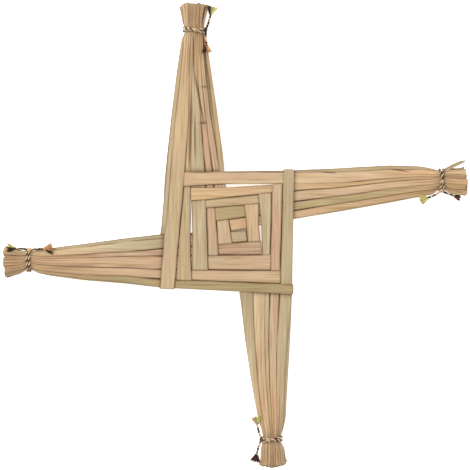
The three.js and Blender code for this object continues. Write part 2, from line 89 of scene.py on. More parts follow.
# Gathered bundles
BELLY_LINE = 70.0
CHEST_LINE = 98.0
SHOULDER_RUN = 13.0
PINCH_RUN = 5.0
WAIST_HALF_LENGTH = 2.2
TIP_RUN = 5.0
TIP_RAGGEDNESS = 1.6
GROOVE_DEPTH = 0.4
RIB_ROUNDNESS = 2.2
RIB_EDGE = 0.25
RIB_SWELL = 0.45
RIB_RISE = 0.2
BELLY_HALF_HEIGHT = 2.2
CHEST_HALF_HEIGHT = 3.3
SHOULDER_HALF_HEIGHT = 4.2
NECK_HALF_HEIGHT = 4.9
WAIST_HALF_HEIGHT = 4.6
COLLAR_HALF_HEIGHT = 5.3
TIP_HALF_HEIGHT = 6.6
TIP_FLARE = 0.45

# Yarn ties
YARN_RADIUS = 0.65
YARN_CLEARANCE = 0.35
YARN_TURNS = 2
YARN_PITCH = 1.5
KNOT_HALF_LENGTH = 2.3
KNOT_RADIUS = 1.1
KNOT_ANGLE = math.radians(158)
TUFT_SHARE = 0.38
YARN_STEP = 0.3

# Shape of a loose end: shares of its run, and how far it has gone inwards and up there
END_RUN = (0.0, 0.15, 0.3, 0.48, 0.65, 0.82, 1.0)
END_BEND = (0.0, 0.24, 0.42, 0.6, 0.75, 0.88, 1.0)

# Fineness of the meshes
TOP_COLUMNS = 25
UNDERSIDE_COLUMNS = 9
FOLD_RINGS = 11
FOLD_UV_RUN = 6.0
RING_STEP = 1.0

# Relief of a rush: creases, flutes by their waves over the width, and dents, all flattened at its edges
CREASE_WANDER = 0.05
CREASE_WIDTH = 0.28
GATHERED_CREASE_WIDTH = 0.14
FLUTE_WAVES = (3, 5, 8)
FLUTE_WANDER = 0.7
FLUTE_DEPTH = 0.016
GATHERED_FLUTE_DEPTH = 0.035
DENT_DEPTH = 0.03
RELIEF_FLATNESS = 4

# A rush's wavering edges, which the bundle steadies, its fold and its ragged tip
EDGE_WANDER = 0.11
EDGE_STEADIED = 0.6
FOLD_FULLNESS = 0.7
TIP_JAG = 0.7
TIP_JAG_RUN = 7

# What is painted on a rush, by vertex
PAINTED = ("edge", "stain_and_shade", "green", "shade", "ripe")

# Brown edges and painted seam shadow: a soft line that sharpens as the rush is gathered, and a narrow dark
# one
SOFT_LINE = 0.72
SOFT_LINE_WIDTH = 0.62
SOFT_LINE_SHARPENING = 0.24
DARK_LINE = 0.38
DARK_LINE_WIDTH = 0.3
FREE_EDGE_BROWNING = 0.4
GATHERED_BROWNING = (0.35, 1.5)
MOST_BROWNED = 0.95
# Painted shade where a fold turns away
FOLD_SHADE = 0.35

# Painted shade in the creases, in the bundle and by a millimetre of depth in the weave
CREASE_SHADE = 0.5
FLAT_CREASE_SHADE = 2.5
CREASE_LINE_WIDTH = 0.35

# Painted shadow where a leg leaves the rush above, stains on the weathered tail past the yarn, painted
# shade under it
DIVE_SHADOW = 0.5
DIVE_SHADOW_RUN = 1.6
WEATHERING_SPREAD = (0.45, 1.35)
WEATHERING_RUN = 9
WEATHERING_WAVES = 17
YARN_SHADE = 0.14
YARN_SHADE_RUN = 4.2

# Tones along a rush: what the bundle keeps of them, how they change, and how those of the back differ
BUNDLE_GREEN = 0.35
BUNDLE_SHADE = 0.2
SHADE_DRIFT = 0.09
SHADE_STEP = 45
RIPENESS = 0.55
RIPENING_RUN = 9
BACK_RIPENESS = 0.4
BACK_GREENNESS = 0.7
# Painted shade on the back legs, which lie under the front ones
BACK_SHADE = 0.08

# Where one rush's grain begins, by its seed, so that no two are alike
GRAIN_SHIFT = (37.0, 11.0)

# Streaks: length and width in millimetres, and how many finer layers they have
FINE_STREAKS = (30, 0.42, 3)
BROAD_STREAKS = (60, 1.7, 2)
PATCHES = (34, 7, 2)
WOOL_STREAKS = (1.6, 0.16, 3)

# Settings that several shader nodes have
COLOUR_MIX = {"data_type": "RGBA"}
COLOUR_MULTIPLY = {"data_type": "RGBA", "blend_type": "MULTIPLY"}
TIMES = {"operation": "MULTIPLY", "use_clamp": True}
PLUS = {"operation": "ADD", "use_clamp": True}
LESS = {"operation": "SUBTRACT", "use_clamp": True}


def linear(code: str) -> tuple[float, float, float, float]:
    """Turns an sRGB hex colour into linear light.

    Args:
        code: the colour as "#rrggbb".

    Returns:
        The linear red, green and blue, and an alpha of 1.
    """
    values = np.array([int(code[i : i + 2], 16) for i in (1, 3, 5)]) / 255
    light = np.where(values <= 0.04045, values / 12.92, ((values + 0.055) / 1.055) ** 2.4)
    return (*light.tolist(), 1.0)


def smooth(t: np.ndarray) -> np.ndarray:
    """Rises from 0 to 1 as 3t squared less 2t cubed, and holds outside that range."""
    t = np.clip(t, 0, 1)
    return t * t * (3 - 2 * t)


def drift(rng: np.random.Generator, s: np.ndarray, step: float) -> np.ndarray:
    """Slow random wander: seeded values one step apart, eased into one another.

    Args:
        rng: the seeded source.
        s: distances along, in millimetres.
        step: distance between two random values.

    Returns:
        Values of about -1 to 1, one for each distance.
    """
    low = float(s.min())
    count = int((s.max() - low) / step) + 3
    knots = rng.uniform(-1, 1, count)
    place = (s - low) / step
    index = np.floor(place).astype(int)
    return knots[index] + (knots[index + 1] - knots[index]) * smooth(place - index)


@dataclass(frozen=True)
class Wander:
    """A slow random wander about a middle value, held between two values."""

    step: float
    middle: float
    swing: float
    low: float = 0.0
    high: float = 1.0

    def along(self, rng: np.random.Generator, s: np.ndarray) -> np.ndarray:
        """Gives its value at each distance along."""
        return np.clip(self.middle + self.swing * drift(rng, s, self.step), self.low, self.high)


# The edge line is partly brown edge and partly painted seam shadow; the crease line is painted shade
EDGE_LINE_WANDER = Wander(11, 0.88, 0.5, 0.35)
CREASE_SHADE_WANDER = Wander(17, 0.55, 0.75)
GREEN_PATCHES = Wander(30, -0.05, 0.5)
RIPE_PATCHES = Wander(28, 0.9, 0.4, 0.0, 1.2)


def monotone(x: np.ndarray, y: np.ndarray, q: np.ndarray) -> np.ndarray:
    """Monotone cubic curve through rows of values: slopes are weighted harmonic means of the chords.

    Args:
        x: increasing places of the rows, n of them.
        y: the rows, n by k.
        q: places to read, m of them.

    Returns:
        The values there, m by k.
    """
    h = np.diff(x)[:, None]
    chord = np.diff(y, axis=0) / h
    slopes = np.zeros_like(y)
    slopes[0], slopes[-1] = chord[0], chord[-1]
    before, after = chord[:-1], chord[1:]
    same = before * after > 0
    w1, w2 = 2 * h[1:] + h[:-1], h[1:] + 2 * h[:-1]
    safe_before, safe_after = np.where(same, before, 1), np.where(same, after, 1)
    slopes[1:-1] = np.where(same, (w1 + w2) / (w1 / safe_before + w2 / safe_after), 0)
    i = np.clip(np.searchsorted(x, q, side="right") - 1, 0, len(x) - 2)
    t = ((q - x[i]) / h[i, 0])[:, None]
    a, b = y[i], y[i + 1]
    ma, mb = slopes[i] * h[i], slopes[i + 1] * h[i]
    return a + t * ma + t**2 * (3 * (b - a) - 2 * ma - mb) + t**3 * (2 * (a - b) + ma + mb)


def travelled(path: np.ndarray) -> np.ndarray:
    """Gives each point's distance along a path from its start."""
    return np.concatenate([[0], np.cumsum(np.linalg.norm(np.diff(path, axis=0), axis=1))])


def square_axes(path: np.ndarray, reference: np.ndarray) -> tuple[np.ndarray, np.ndarray]:
    """Two axes square to a path: the reference less its part along the path, and one square to both.

    Args:
        path: points.
        reference: a direction for each point, or one for all.

    Returns:
        Both axes at each point, one long.
    """
    tangent = np.gradient(path, axis=0)
    tangent /= np.linalg.norm(tangent, axis=1, keepdims=True)
    normal = reference - (reference * tangent).sum(1, keepdims=True) * tangent
    normal /= np.linalg.norm(normal, axis=1, keepdims=True) + 1e-9
    return normal, np.cross(tangent, normal)


def softened(x: np.ndarray, y: np.ndarray, q: np.ndarray, reach: float) -> np.ndarray:
    """Straight lines through rows of values, with corners rounded by a mean of three readings.

    Args:
        x: increasing places of the rows, n of them.
        y: the rows, n by k.
        q: places to read, m of them.
        reach: how far before and after the other two readings lie.

    Returns:
        The values there, m by k.
    """

    def straight(place: np.ndarray) -> np.ndarray:
        """Reads the lines, carried on past both ends.

        Args:
            place: places to read.

        Returns:
            The values there.
        """
        i = np.clip(np.searchsorted(x, place, side="right") - 1, 0, len(x) - 2)
        t = ((place - x[i]) / (x[i + 1] - x[i]))[:, None]
        return y[i] + (y[i + 1] - y[i]) * t

    return (straight(q - reach) + 2 * straight(q) + straight(q + reach)) / 4


def linked(name: str, data: bpy.types.ID) -> bpy.types.Object:
    """Makes an object of its data and puts it in the scene.

    Args:
        name: the object's name.
        data: its mesh, lamp or camera.

    Returns:
        The object.
    """
    thing = bpy.data.objects.new(name, data)
    bpy.context.scene.collection.objects.link(thing)
    return thing


@dataclass
class Surface:
    """Vertices, faces and painted values of one shell or more."""

    points: np.ndarray
    quads: np.ndarray
    caps: list[np.ndarray]
    uv: np.ndarray
    paint: dict[str, np.ndarray] = field(default_factory=dict)

    @staticmethod
    def joined(parts: list["Surface"]) -> "Surface":
        """Puts several surfaces into one.

        Args:
            parts: surfaces that have the same painted values.

        Returns:
            The surface that holds them all.
        """
        starts = np.cumsum([0] + [len(p.points) for p in parts])
        return Surface(
            np.concatenate([p.points for p in parts]),
            np.concatenate([p.quads + s for p, s in zip(parts, starts)]),
            [cap + s for p, s in zip(parts, starts) for cap in p.caps],
            np.concatenate([p.uv for p in parts]),
            {k: np.concatenate([p.paint[k] for p in parts]) for k in parts[0].paint},
        )

    def facing_out(self) -> "Surface":
        """Turns the faces round if the shell's signed volume is negative.

        Returns:
            The surface itself.
        """
        a, b, c, d = (self.points[self.quads[:, i]] for i in range(4))
        halves = ((a, b, c), (a, c, d))
        volume = sum(np.einsum("ij,ij->i", p, np.cross(q, r)).sum() for p, q, r in halves)
        if volume < 0:
            self.quads = self.quads[:, ::-1]
            self.caps = [cap[::-1] for cap in self.caps]
        return self

    def to_object(self, name: str, material: bpy.types.Material) -> bpy.types.Object:
        """Makes the mesh and its object, with its place in its vertices.

        Args:
            name: the piece's name.
            material: its finish.

        Returns:
            The linked object.
        """
        mesh = bpy.data.meshes.new(name)
        faces = self.quads.tolist() + [cap.tolist() for cap in self.caps]
        mesh.from_pydata((self.points * MM).tolist(), [], faces)
        loops = np.empty(len(mesh.loops), np.int32)
        mesh.loops.foreach_get("vertex_index", loops)
        layer = mesh.uv_layers.new(name="strip")
        layer.data.foreach_set("uv", self.uv[loops].astype(np.float32).ravel())
        for key, values in self.paint.items():
            attribute = mesh.attributes.new(key, "FLOAT", "POINT")
            attribute.data.foreach_set("value", values.astype(np.float32))
        mesh.polygons.foreach_set("use_smooth", np.ones(len(mesh.polygons), bool))
        mesh.materials.append(material)
        mesh.update()
        return linked(name, mesh)


def tube_faces(rings: int, sides: int) -> tuple[np.ndarray, list[np.ndarray]]:
    """Faces of a closed tube whose ring r has corners r * sides to r * sides + sides - 1.

    Args:
        rings: number of rings.
        sides: corners in each ring.

    Returns:
        The quads, and the two end caps.
    """
    row, col = np.meshgrid(np.arange(rings - 1), np.arange(sides), indexing="ij")
    a = (row * sides + col).ravel()
    b = (row * sides + (col + 1) % sides).ravel()
    quads = np.stack([a, b, b + sides, a + sides], 1)
    last = (rings - 1) * sides
    return quads, [np.arange(sides)[::-1], np.arange(last, last + sides)]


class NodeBench:
    """A material's node tree, with one small function that adds a node to it."""

    def __init__(self, name: str) -> None:
        """Starts an empty material.

        Args:
            name: the material's name.
        """
        self.material = bpy.data.materials.new(name)
        self.material.use_nodes = True
        self.tree = self.material.node_tree
        self.tree.nodes.clear()

    def add(
        self, kind: str, settings: dict[str, object] | None = None, out: int | str = 0, **inputs: object
    ) -> bpy.types.NodeSocket | None:
        """Adds a node, sets it and links what is given.

        Args:
            kind: the node's type without its ShaderNode prefix.
            settings: properties to set on the node, and as stops the places and colours of a ramp.
            out: which of its outputs is wanted.
            inputs: a value or an output socket for each socket, by its name with underscores for spaces, or
                by its number, as in0 or in1.

        Returns:
            That output, or None for the node that ends the tree.
        """
        node = self.tree.nodes.new("ShaderNode" + kind)
        settings = dict(settings or {})
        stops = settings.pop("stops", ())
        elements = node.color_ramp.elements if stops else ()
        while len(elements) < len(stops):
            elements.new(0.5)
        for element, (place, colour) in zip(elements, stops):
            element.position = place
            element.color = colour
        for key, value in settings.items():
            setattr(node, key, value)
        for key, value in inputs.items():
            is_index = key.startswith("in") and key[2:].isdigit()
            socket = node.inputs[int(key[2:])] if is_index else node.inputs[key.replace("_", " ")]
            if isinstance(value, bpy.types.NodeSocket):
                self.tree.links.new(value, socket)
            else:
                socket.default_value = value
        return node.outputs[out] if len(node.outputs) else None


def streaks(
    bench: NodeBench, uv: object, length: float, width: float, detail: float
) -> bpy.types.NodeSocket:
    """Noise drawn out along the strip.

    Args:
        bench: the material being made.
        uv: the strip's coordinates in metres.
        length: a streak's length in millimetres.
        width: its width in millimetres.
        detail: how many finer layers it has.

    Returns:
        The noise, about 0.3 to 0.7.
    """
    place = bench.add("Mapping", Vector=uv, Scale=(1 / (length * MM), 1 / (width * MM), 1.0))
    flat = {"noise_dimensions": "2D"}
    return bench.add("TexNoise", flat, Vector=place, Scale=1.0, Detail=detail, Roughness=0.55)


@dataclass(frozen=True)
class RushFinish:
    """A dried, flattened rush: silky lengthwise grain, brown edges with painted seam shadow, patches that
    are still green.
    """

    name: str
    pale: str
    body: str
    deep: str
    patch: str
    green: str = "#b3a685"
    ripe: str = "#c29b6e"
    fibre: str = "#6f4e2c"
    shade: str = "#83693f"
    edge: str = "#5c3814"
    stain_and_shade: str = "#4b2c14"
    fine_stops: tuple[float, float, float] = (0.34, 0.49, 0.64)
    broad_stops: tuple[float, float, float] = (0.36, 0.5, 0.63)
    patchiness: float = 0.75
    greenness: float = 0.7
    gap_darkness: float = 0.3
    least_roughness: float = 0.42
    roughness_spread: float = 0.22

    def make(self) -> bpy.types.Material:
        """Builds the material: fine and broad streaks, patches, brown edges with painted seam shadow, and
        stains with painted shadow and shade.

        Returns:
            The material.
        """
        bench = NodeBench(self.name)
        uv = bench.add("UVMap", {"uv_map": "strip"})
        fine, broad, patches = (
            streaks(bench, uv, *sizes) for sizes in (FINE_STREAKS, BROAD_STREAKS, PATCHES)
        )
        painted = {key: bench.add("Attribute", {"attribute_name": key}, out=2) for key in PAINTED}
        tones = [linear(code) for code in (self.deep, self.body, self.pale)]
        narrow = bench.add("ValToRGB", {"stops": list(zip(self.fine_stops, tones))}, in0=fine)
        wide = bench.add("ValToRGB", {"stops": list(zip(self.broad_stops, tones))}, in0=broad)
        colour = bench.add("Mix", COLOUR_MIX, out=2, in0=0.5, in6=narrow, in7=wide)
        filled = bench.add("MapRange", in0=fine, in1=0.33, in2=0.42)
        gaps = bench.add("Math", LESS, in0=1.0, in1=filled)
        browning_and_shade = bench.add("MapRange", in0=broad, in1=0.05, in2=0.42)
        layers = (
            (bench.add("MapRange", in0=patches, in1=0.42, in2=0.62, in4=self.patchiness), self.patch),
            (bench.add("Math", TIMES, in0=painted["green"], in1=self.greenness), self.green),
            (painted["ripe"], self.ripe),
            (bench.add("Math", TIMES, in0=gaps, in1=self.gap_darkness), self.fibre),
            (painted["shade"], self.shade),
            # Brown edges with painted shadow in the seams, painted shade in the creases and where the fold
            # turns
            (bench.add("Math", TIMES, in0=painted["edge"], in1=browning_and_shade), self.edge),
            # Stains with painted shadow below the rush above and painted shade by the yarn
            (painted["stain_and_shade"], self.stain_and_shade),
        )
        for factor, code in layers:
            colour = bench.add("Mix", COLOUR_MIX, out=2, in0=factor, in6=colour, in7=linear(code))
        rough = bench.add("MapRange", in0=fine, in1=0.3, in2=0.7, in4=self.roughness_spread)
        roughness = bench.add("Math", PLUS, in0=rough, in1=self.least_roughness)
        ridges = bench.add("Math", TIMES, in0=fine, in1=0.55)
        swells = bench.add("Math", TIMES, in0=broad, in1=0.4)
        height = bench.add("Math", PLUS, in0=ridges, in1=swells)
        bump = bench.add("Bump", Strength=0.55, Distance=0.12 * MM, Height=height)
        shader = bench.add(
            "BsdfPrincipled",
            Base_Color=colour,
            Roughness=roughness,
            Specular_IOR_Level=0.32,
            Normal=bump,
        )
        bench.add("OutputMaterial", in0=shader)
        return bench.material


@dataclass(frozen=True)
class YarnFinish:
    """Twisted wool, dyed in short lengths of many colours. The dye is read from the piece itself."""

    name: str = "twisted_dyed_wool"
    light_fibre: str = "#f2e2c8"
    dark_fibre: str = "#5b4030"
    dyes: tuple[tuple[float, str], ...] = (
        (0.0, "#ead1ac"),
        (0.2, "#dfba9a"),
        (0.3, "#d0bd93"),
        (0.42, "#3a2a20"),
        (0.56, "#2c211d"),
        (0.64, "#ddd77c"),
        (0.76, "#e8de9a"),
        (0.84, "#cf8f5c"),
        (0.93, "#7d2f1d"),
        (1.0, "#571d18"),
    )

    def make(self) -> bpy.types.Material:
        """Builds the material: dye by length, fibre streaks and a soft fuzz.

        Returns:
            The material.
        """
        bench = NodeBench(self.name)
        dye = bench.add("Attribute", {"attribute_name": "dye"}, out=2)
        stops = [(place, linear(code)) for place, code in self.dyes]
        colour = bench.add("ValToRGB", {"stops": stops}, in0=dye)
        fibre = streaks(bench, bench.add("UVMap", {"uv_map": "strip"}), *WOOL_STREAKS)
        light = bench.add("MapRange", in0=fibre, in1=0.35, in2=0.65, in4=0.45)
        dark = bench.add("MapRange", in0=fibre, in1=0.62, in2=0.4, in4=0.4)
        for factor, code in ((light, self.light_fibre), (dark, self.dark_fibre)):
            colour = bench.add("Mix", COLOUR_MULTIPLY, out=2, in0=factor, in6=colour, in7=linear(code))
        bump = bench.add("Bump", Strength=0.7, Distance=0.1 * MM, Height=fibre)
        shader = bench.add(
            "BsdfPrincipled",
            Base_Color=colour,
            Roughness=0.9,
            Specular_IOR_Level=0.15,
            Sheen_Weight=0.25,
            Sheen_Roughness=0.5,
            Normal=bump,
        )
        bench.add("OutputMaterial", in0=shader)
        return bench.material


class Tone(Enum):
    """The rushes' tones, with the record's material slot of each."""

    TAN = (RushFinish("dried_rush_tan", "#cfb895", "#c3a782", "#ae8b61", "#c4a283"), "rush_tan")
    SAND = (RushFinish("dried_rush_sand", "#cbb892", "#bea77f", "#a38a5f", "#bea384"), "rush_tan")
    ORANGE = (RushFinish("dried_rush_amber", "#d0b48c", "#c5a57b", "#b0895a", "#c5a17e"), "rush_tan")
    CREAM = (RushFinish("dried_rush_cream", "#d1bd9c", "#c5ac87", "#ae8f68", "#c09b7c"), "rush_tan")
    PINK = (RushFinish("dried_rush_pink", "#cfb495", "#c2a483", "#a9845f", "#be987b"), "rush_pink")
    ROSE = (RushFinish("dried_rush_rose", "#c5a78a", "#b8977a", "#997459", "#a88368"), "rush_pink")
    GREY = (RushFinish("dried_rush_grey", "#c7b595", "#b9a482", "#9c8763", "#af9e7c"), "rush_green")
    MOSS = (RushFinish("dried_rush_moss", "#c2af87", "#b49e75", "#988253", "#aa986d"), "rush_green")
    OLIVE = (RushFinish("dried_rush_olive", "#b9a780", "#a8976f", "#8d7b4e", "#b09873"), "rush_green")


@dataclass(frozen=True)
class Edge:
    """The line across = at + slope * along."""

    at: float
    slope: float

    @staticmethod
    def through(along_a: float, across_a: float, along_b: float, across_b: float) -> "Edge":
        """Gives the line through two points."""
        slope = (across_b - across_a) / (along_b - along_a)
        return Edge(across_a - slope * along_a, slope)

    def across(self, along: float) -> float:
        """Gives the distance across at a distance along."""
        return self.at + self.slope * along

    def meet_before(self, other: "Edge") -> float:
        """Gives where this edge meets one of the arm before, whose across axis points back along this."""
        return (-other.at - other.slope * self.at) / (1 + other.slope * self.slope)

    def meet_after(self, other: "Edge") -> float:
        """Gives where this edge meets one of the arm after, whose across axis is this arm's along axis."""
        return (other.at - other.slope * self.at) / (1 + other.slope * self.slope)

    def turned(self, fold: float, reach: float) -> "Edge":
        """Gives the edge turned about its point at the fold, to stand off by a reach at the mouth."""
        return Edge.through(fold, self.across(fold), MOUTH_LINE, self.across(MOUTH_LINE) + reach)


@dataclass(frozen=True)
class Crease:
    """A groove along a rush: its share of the width, and how deep it is in the weave and in the bundle."""

    share: float
    flat_depth: float = 0.0
    bundle_depth: float = 0.34


@dataclass
class Rush:
    """One rush: its widths, its share of the tied bundle, its gap to the one inside it, and its looks.

    The fields from place on are filled in by its arm.
    """

    centre: float
    mouth: float
    neck: float
    gap: float
    tone: Tone
    creases: tuple[Crease, ...] = (Crease(0.5),)
    shade: float = 0.1
    ripe: float = 0.0
    flare: tuple[float, float] = (0, 0)
    core: bool = False
    bend: tuple[float, float] | None = None
    place: int = 0
    inner: Edge = Edge(0, 0)
    outer: Edge = Edge(0, 0)
    mouth_column: tuple[float, float] = (0, 0)
    overhang: tuple[float, float] = (0, 0)
    closed: tuple[float, float] = (0, 0)
    beside_slit: tuple[bool, bool] = (False, False)
    shy_inner: float = 0.0
    shy_outer: float = 0.0


@dataclass(frozen=True)
class Bundle:
    """Middle and half breadth of a gathered bundle."""

    offset: float
    half_width: float

    def less(self, inner: float, outer: float) -> "Bundle":
        """Gives the bundle without a breadth at its inner and at its outer side."""
        return Bundle(self.offset + (inner - outer) / 2, self.half_width - (inner + outer) / 2)


@dataclass(frozen=True)
class Outline:
    """A bundle at each of its stations, outwards, each given by its middle and half breadth."""

    belly: Bundle
    chest: Bundle
    shoulder: Bundle
    neck: Bundle
    waist: Bundle
    collar: Bundle
    tip: Bundle

    @staticmethod
    def of(*stations: tuple[float, float]) -> "Outline":
        """Gives the outline with these middles and half breadths."""
        return Outline(*(Bundle(*station) for station in stations))


@dataclass(frozen=True)
class YarnEnd:
    """A loose end from its knot: how far along, inwards and up, and the dyes along it and in its tuft.

    Dyes are places on the yarn finish's ramp.
    """

    along: float
    inwards: float
    up: float
    dyes: tuple[float, ...]
    tuft_dyes: tuple[float, ...]


@dataclass(frozen=True)
class Mark:
    """A brown mark on an arm's front: place, length along, width across, strength and lean. Some are stains
    and node rings; the long thin ones along seams are painted shadow.
    """

    along: float
    across: float
    length: float
    width: float
    strength: float
    lean: float = 0.0

    def weight(self, along: np.ndarray, across: np.ndarray) -> np.ndarray:
        """Gives its strength at points, falling off as a bell along and across.

        Args:
            along: the points' distances along.
            across: their distances across.

        Returns:
            The strength at each.
        """
        u = (along - self.along) / (self.length / 2)
        v = (across - self.across - self.lean * (along - self.along)) / (self.width / 2)
        return self.strength * np.exp(-(u**4) - v**2)


@dataclass
class Arm:
    """One arm: its heading, its sizes, its rushes from the middle outwards, its bundle and its yarn."""

    name: str
    heading: float
    length: float
    tail: float
    inset: tuple[float, float]
    shy: tuple[float, float]
    beside: tuple[float, float]
    rushes: list[Rush]
    outline: Outline
    ends: tuple[YarnEnd, YarnEnd]
    turn_dyes: tuple[float, ...]
    knot_dye: float
    weathering: float = 0.3
    slits: tuple[int, ...] = ()
    crossing: float = 85
    tilt: float = 0
    dome: float = 0.5
    marks: tuple[Mark, ...] = ()

    def __post_init__(self) -> None:
        """Lays the rushes out, each a seam outside the one before."""
        centre, mouth = self.inset
        for place, rush in enumerate(self.rushes):
            if place:
                centre, mouth = centre + SEAM + rush.gap, mouth + SEAM
            rush.place = place
            rush.mouth_column = (mouth, mouth + rush.mouth)
            rush.inner = Edge.through(0, centre, MOUTH_LINE, mouth)
            rush.outer = Edge.through(0, centre + rush.centre, MOUTH_LINE, mouth + rush.mouth)
            if rush.bend:
                inner, width = rush.bend
                rush.inner = Edge.through(0, centre, BEND_LINE, inner)
                rush.outer = Edge.through(0, centre + rush.centre, BEND_LINE, inner + width)
            centre, mouth = centre + rush.centre, mouth + rush.mouth
        self.folded[0].shy_inner = self.shy[0]
        self.folded[-1].shy_outer = self.shy[1]
        inside = self.rushes[1:]
        spread = [SEAM_OVERHANG + SEAM_OVERHANG_PER_GAP * rush.gap for rush in inside]
        over = [FREE_OVERHANG, *spread, FREE_OVERHANG]
        met = [(SEAM + rush.gap) / 2 + CLOSED_OVERHANG for rush in inside]
        closed = [FREE_OVERHANG, *met, FREE_OVERHANG]
        slit = [rush.place in self.slits for rush in self.rushes] + [False]
        for rush in self.rushes:
            sides = (rush.place, rush.place + 1)
            rush.overhang = tuple(over[side] for side in sides)
            rush.closed = tuple(closed[side] for side in sides)
            rush.beside_slit = tuple(slit[side] for side in sides)

    @property
    def folded(self) -> list[Rush]:
        """The arm's folded rushes."""
        return [rush for rush in self.rushes if not rush.core]

    @property
    def first_round(self) -> int:
        """The place of the rush that the next arm's first fold leaves to the core."""
        return 1 if self.name == "upper" else 0

    @property
    def tie(self) -> float:
        """How far along the yarn is."""
        return self.length - self.tail

    def columns(self, bundle: Bundle, evenness: float) -> list[tuple[float, float]]:
        """Splits a bundle's breadth into one column for each rush.

        Args:
            bundle: the bundle's middle and half breadth.
            evenness: 0 keeps the shares that the rushes have at the mouth, and 1 gives those of the tie.

        Returns:
            Each column's two edges.
        """
        breadth = 2 * bundle.half_width - (len(self.rushes) - 1) * CLEARANCE
        mouths, necks = (sum(getattr(rush, size) for rush in self.rushes) for size in ("mouth", "neck"))
        across = bundle.offset - bundle.half_width
        result = []
        for rush in self.rushes:
            share = rush.mouth / mouths
            width = breadth * (share + (rush.neck / necks - share) * evenness)
            result.append((across, across + width))
            across += width + CLEARANCE
        return result

    def bundle_stations(self) -> list[tuple[float, Bundle, float, float, float]]:
        """Lists the bundle's stations, outwards.

        Returns:
            For each, its place along, its bundle, half height, evenness and share beside.
        """
        shape = self.outline
        return [
            (BELLY_LINE, shape.belly, BELLY_HALF_HEIGHT, 0.5, 1.0),
            (CHEST_LINE, shape.chest, CHEST_HALF_HEIGHT, 0.85, 1.0),
            (self.tie - SHOULDER_RUN, shape.shoulder, SHOULDER_HALF_HEIGHT, 1.0, 0.8),
            (self.tie - PINCH_RUN, shape.neck, NECK_HALF_HEIGHT, 1.0, 0.5),
            (self.tie - WAIST_HALF_LENGTH, shape.waist, WAIST_HALF_HEIGHT, 1.0, 0.0),
            (self.tie + WAIST_HALF_LENGTH, shape.waist, WAIST_HALF_HEIGHT, 1.0, 0.0),
            (self.tie + PINCH_RUN, shape.collar, COLLAR_HALF_HEIGHT, 1.0, 0.3),
            (self.length - TIP_RUN, shape.tip.less(TIP_FLARE, TIP_FLARE), TIP_HALF_HEIGHT, 1.0, 0.5),
            (self.length, shape.tip.less(-TIP_FLARE, -TIP_FLARE), TIP_HALF_HEIGHT, 1.0, 0.5),
        ]

    def to_row(self, points: np.ndarray, rest: np.ndarray) -> np.ndarray:
        """Turns points from the arm's frame to the row frame.

        Args:
            points: along, across and height, in millimetres.
            rest: the weave's middle in the row frame.

        Returns:
            X, Y and Z in millimetres.
        """
        turn = math.radians(self.heading)
        x = points[:, 0] * math.cos(turn) - points[:, 1] * math.sin(turn)
        y = points[:, 0] * math.sin(turn) + points[:, 1] * math.cos(turn)
        return np.stack([x, y, points[:, 2]], 1) + rest


CORE_CENTRE = (-2.6, 7.9)
CORE_BEND = (7.0, 2.2)


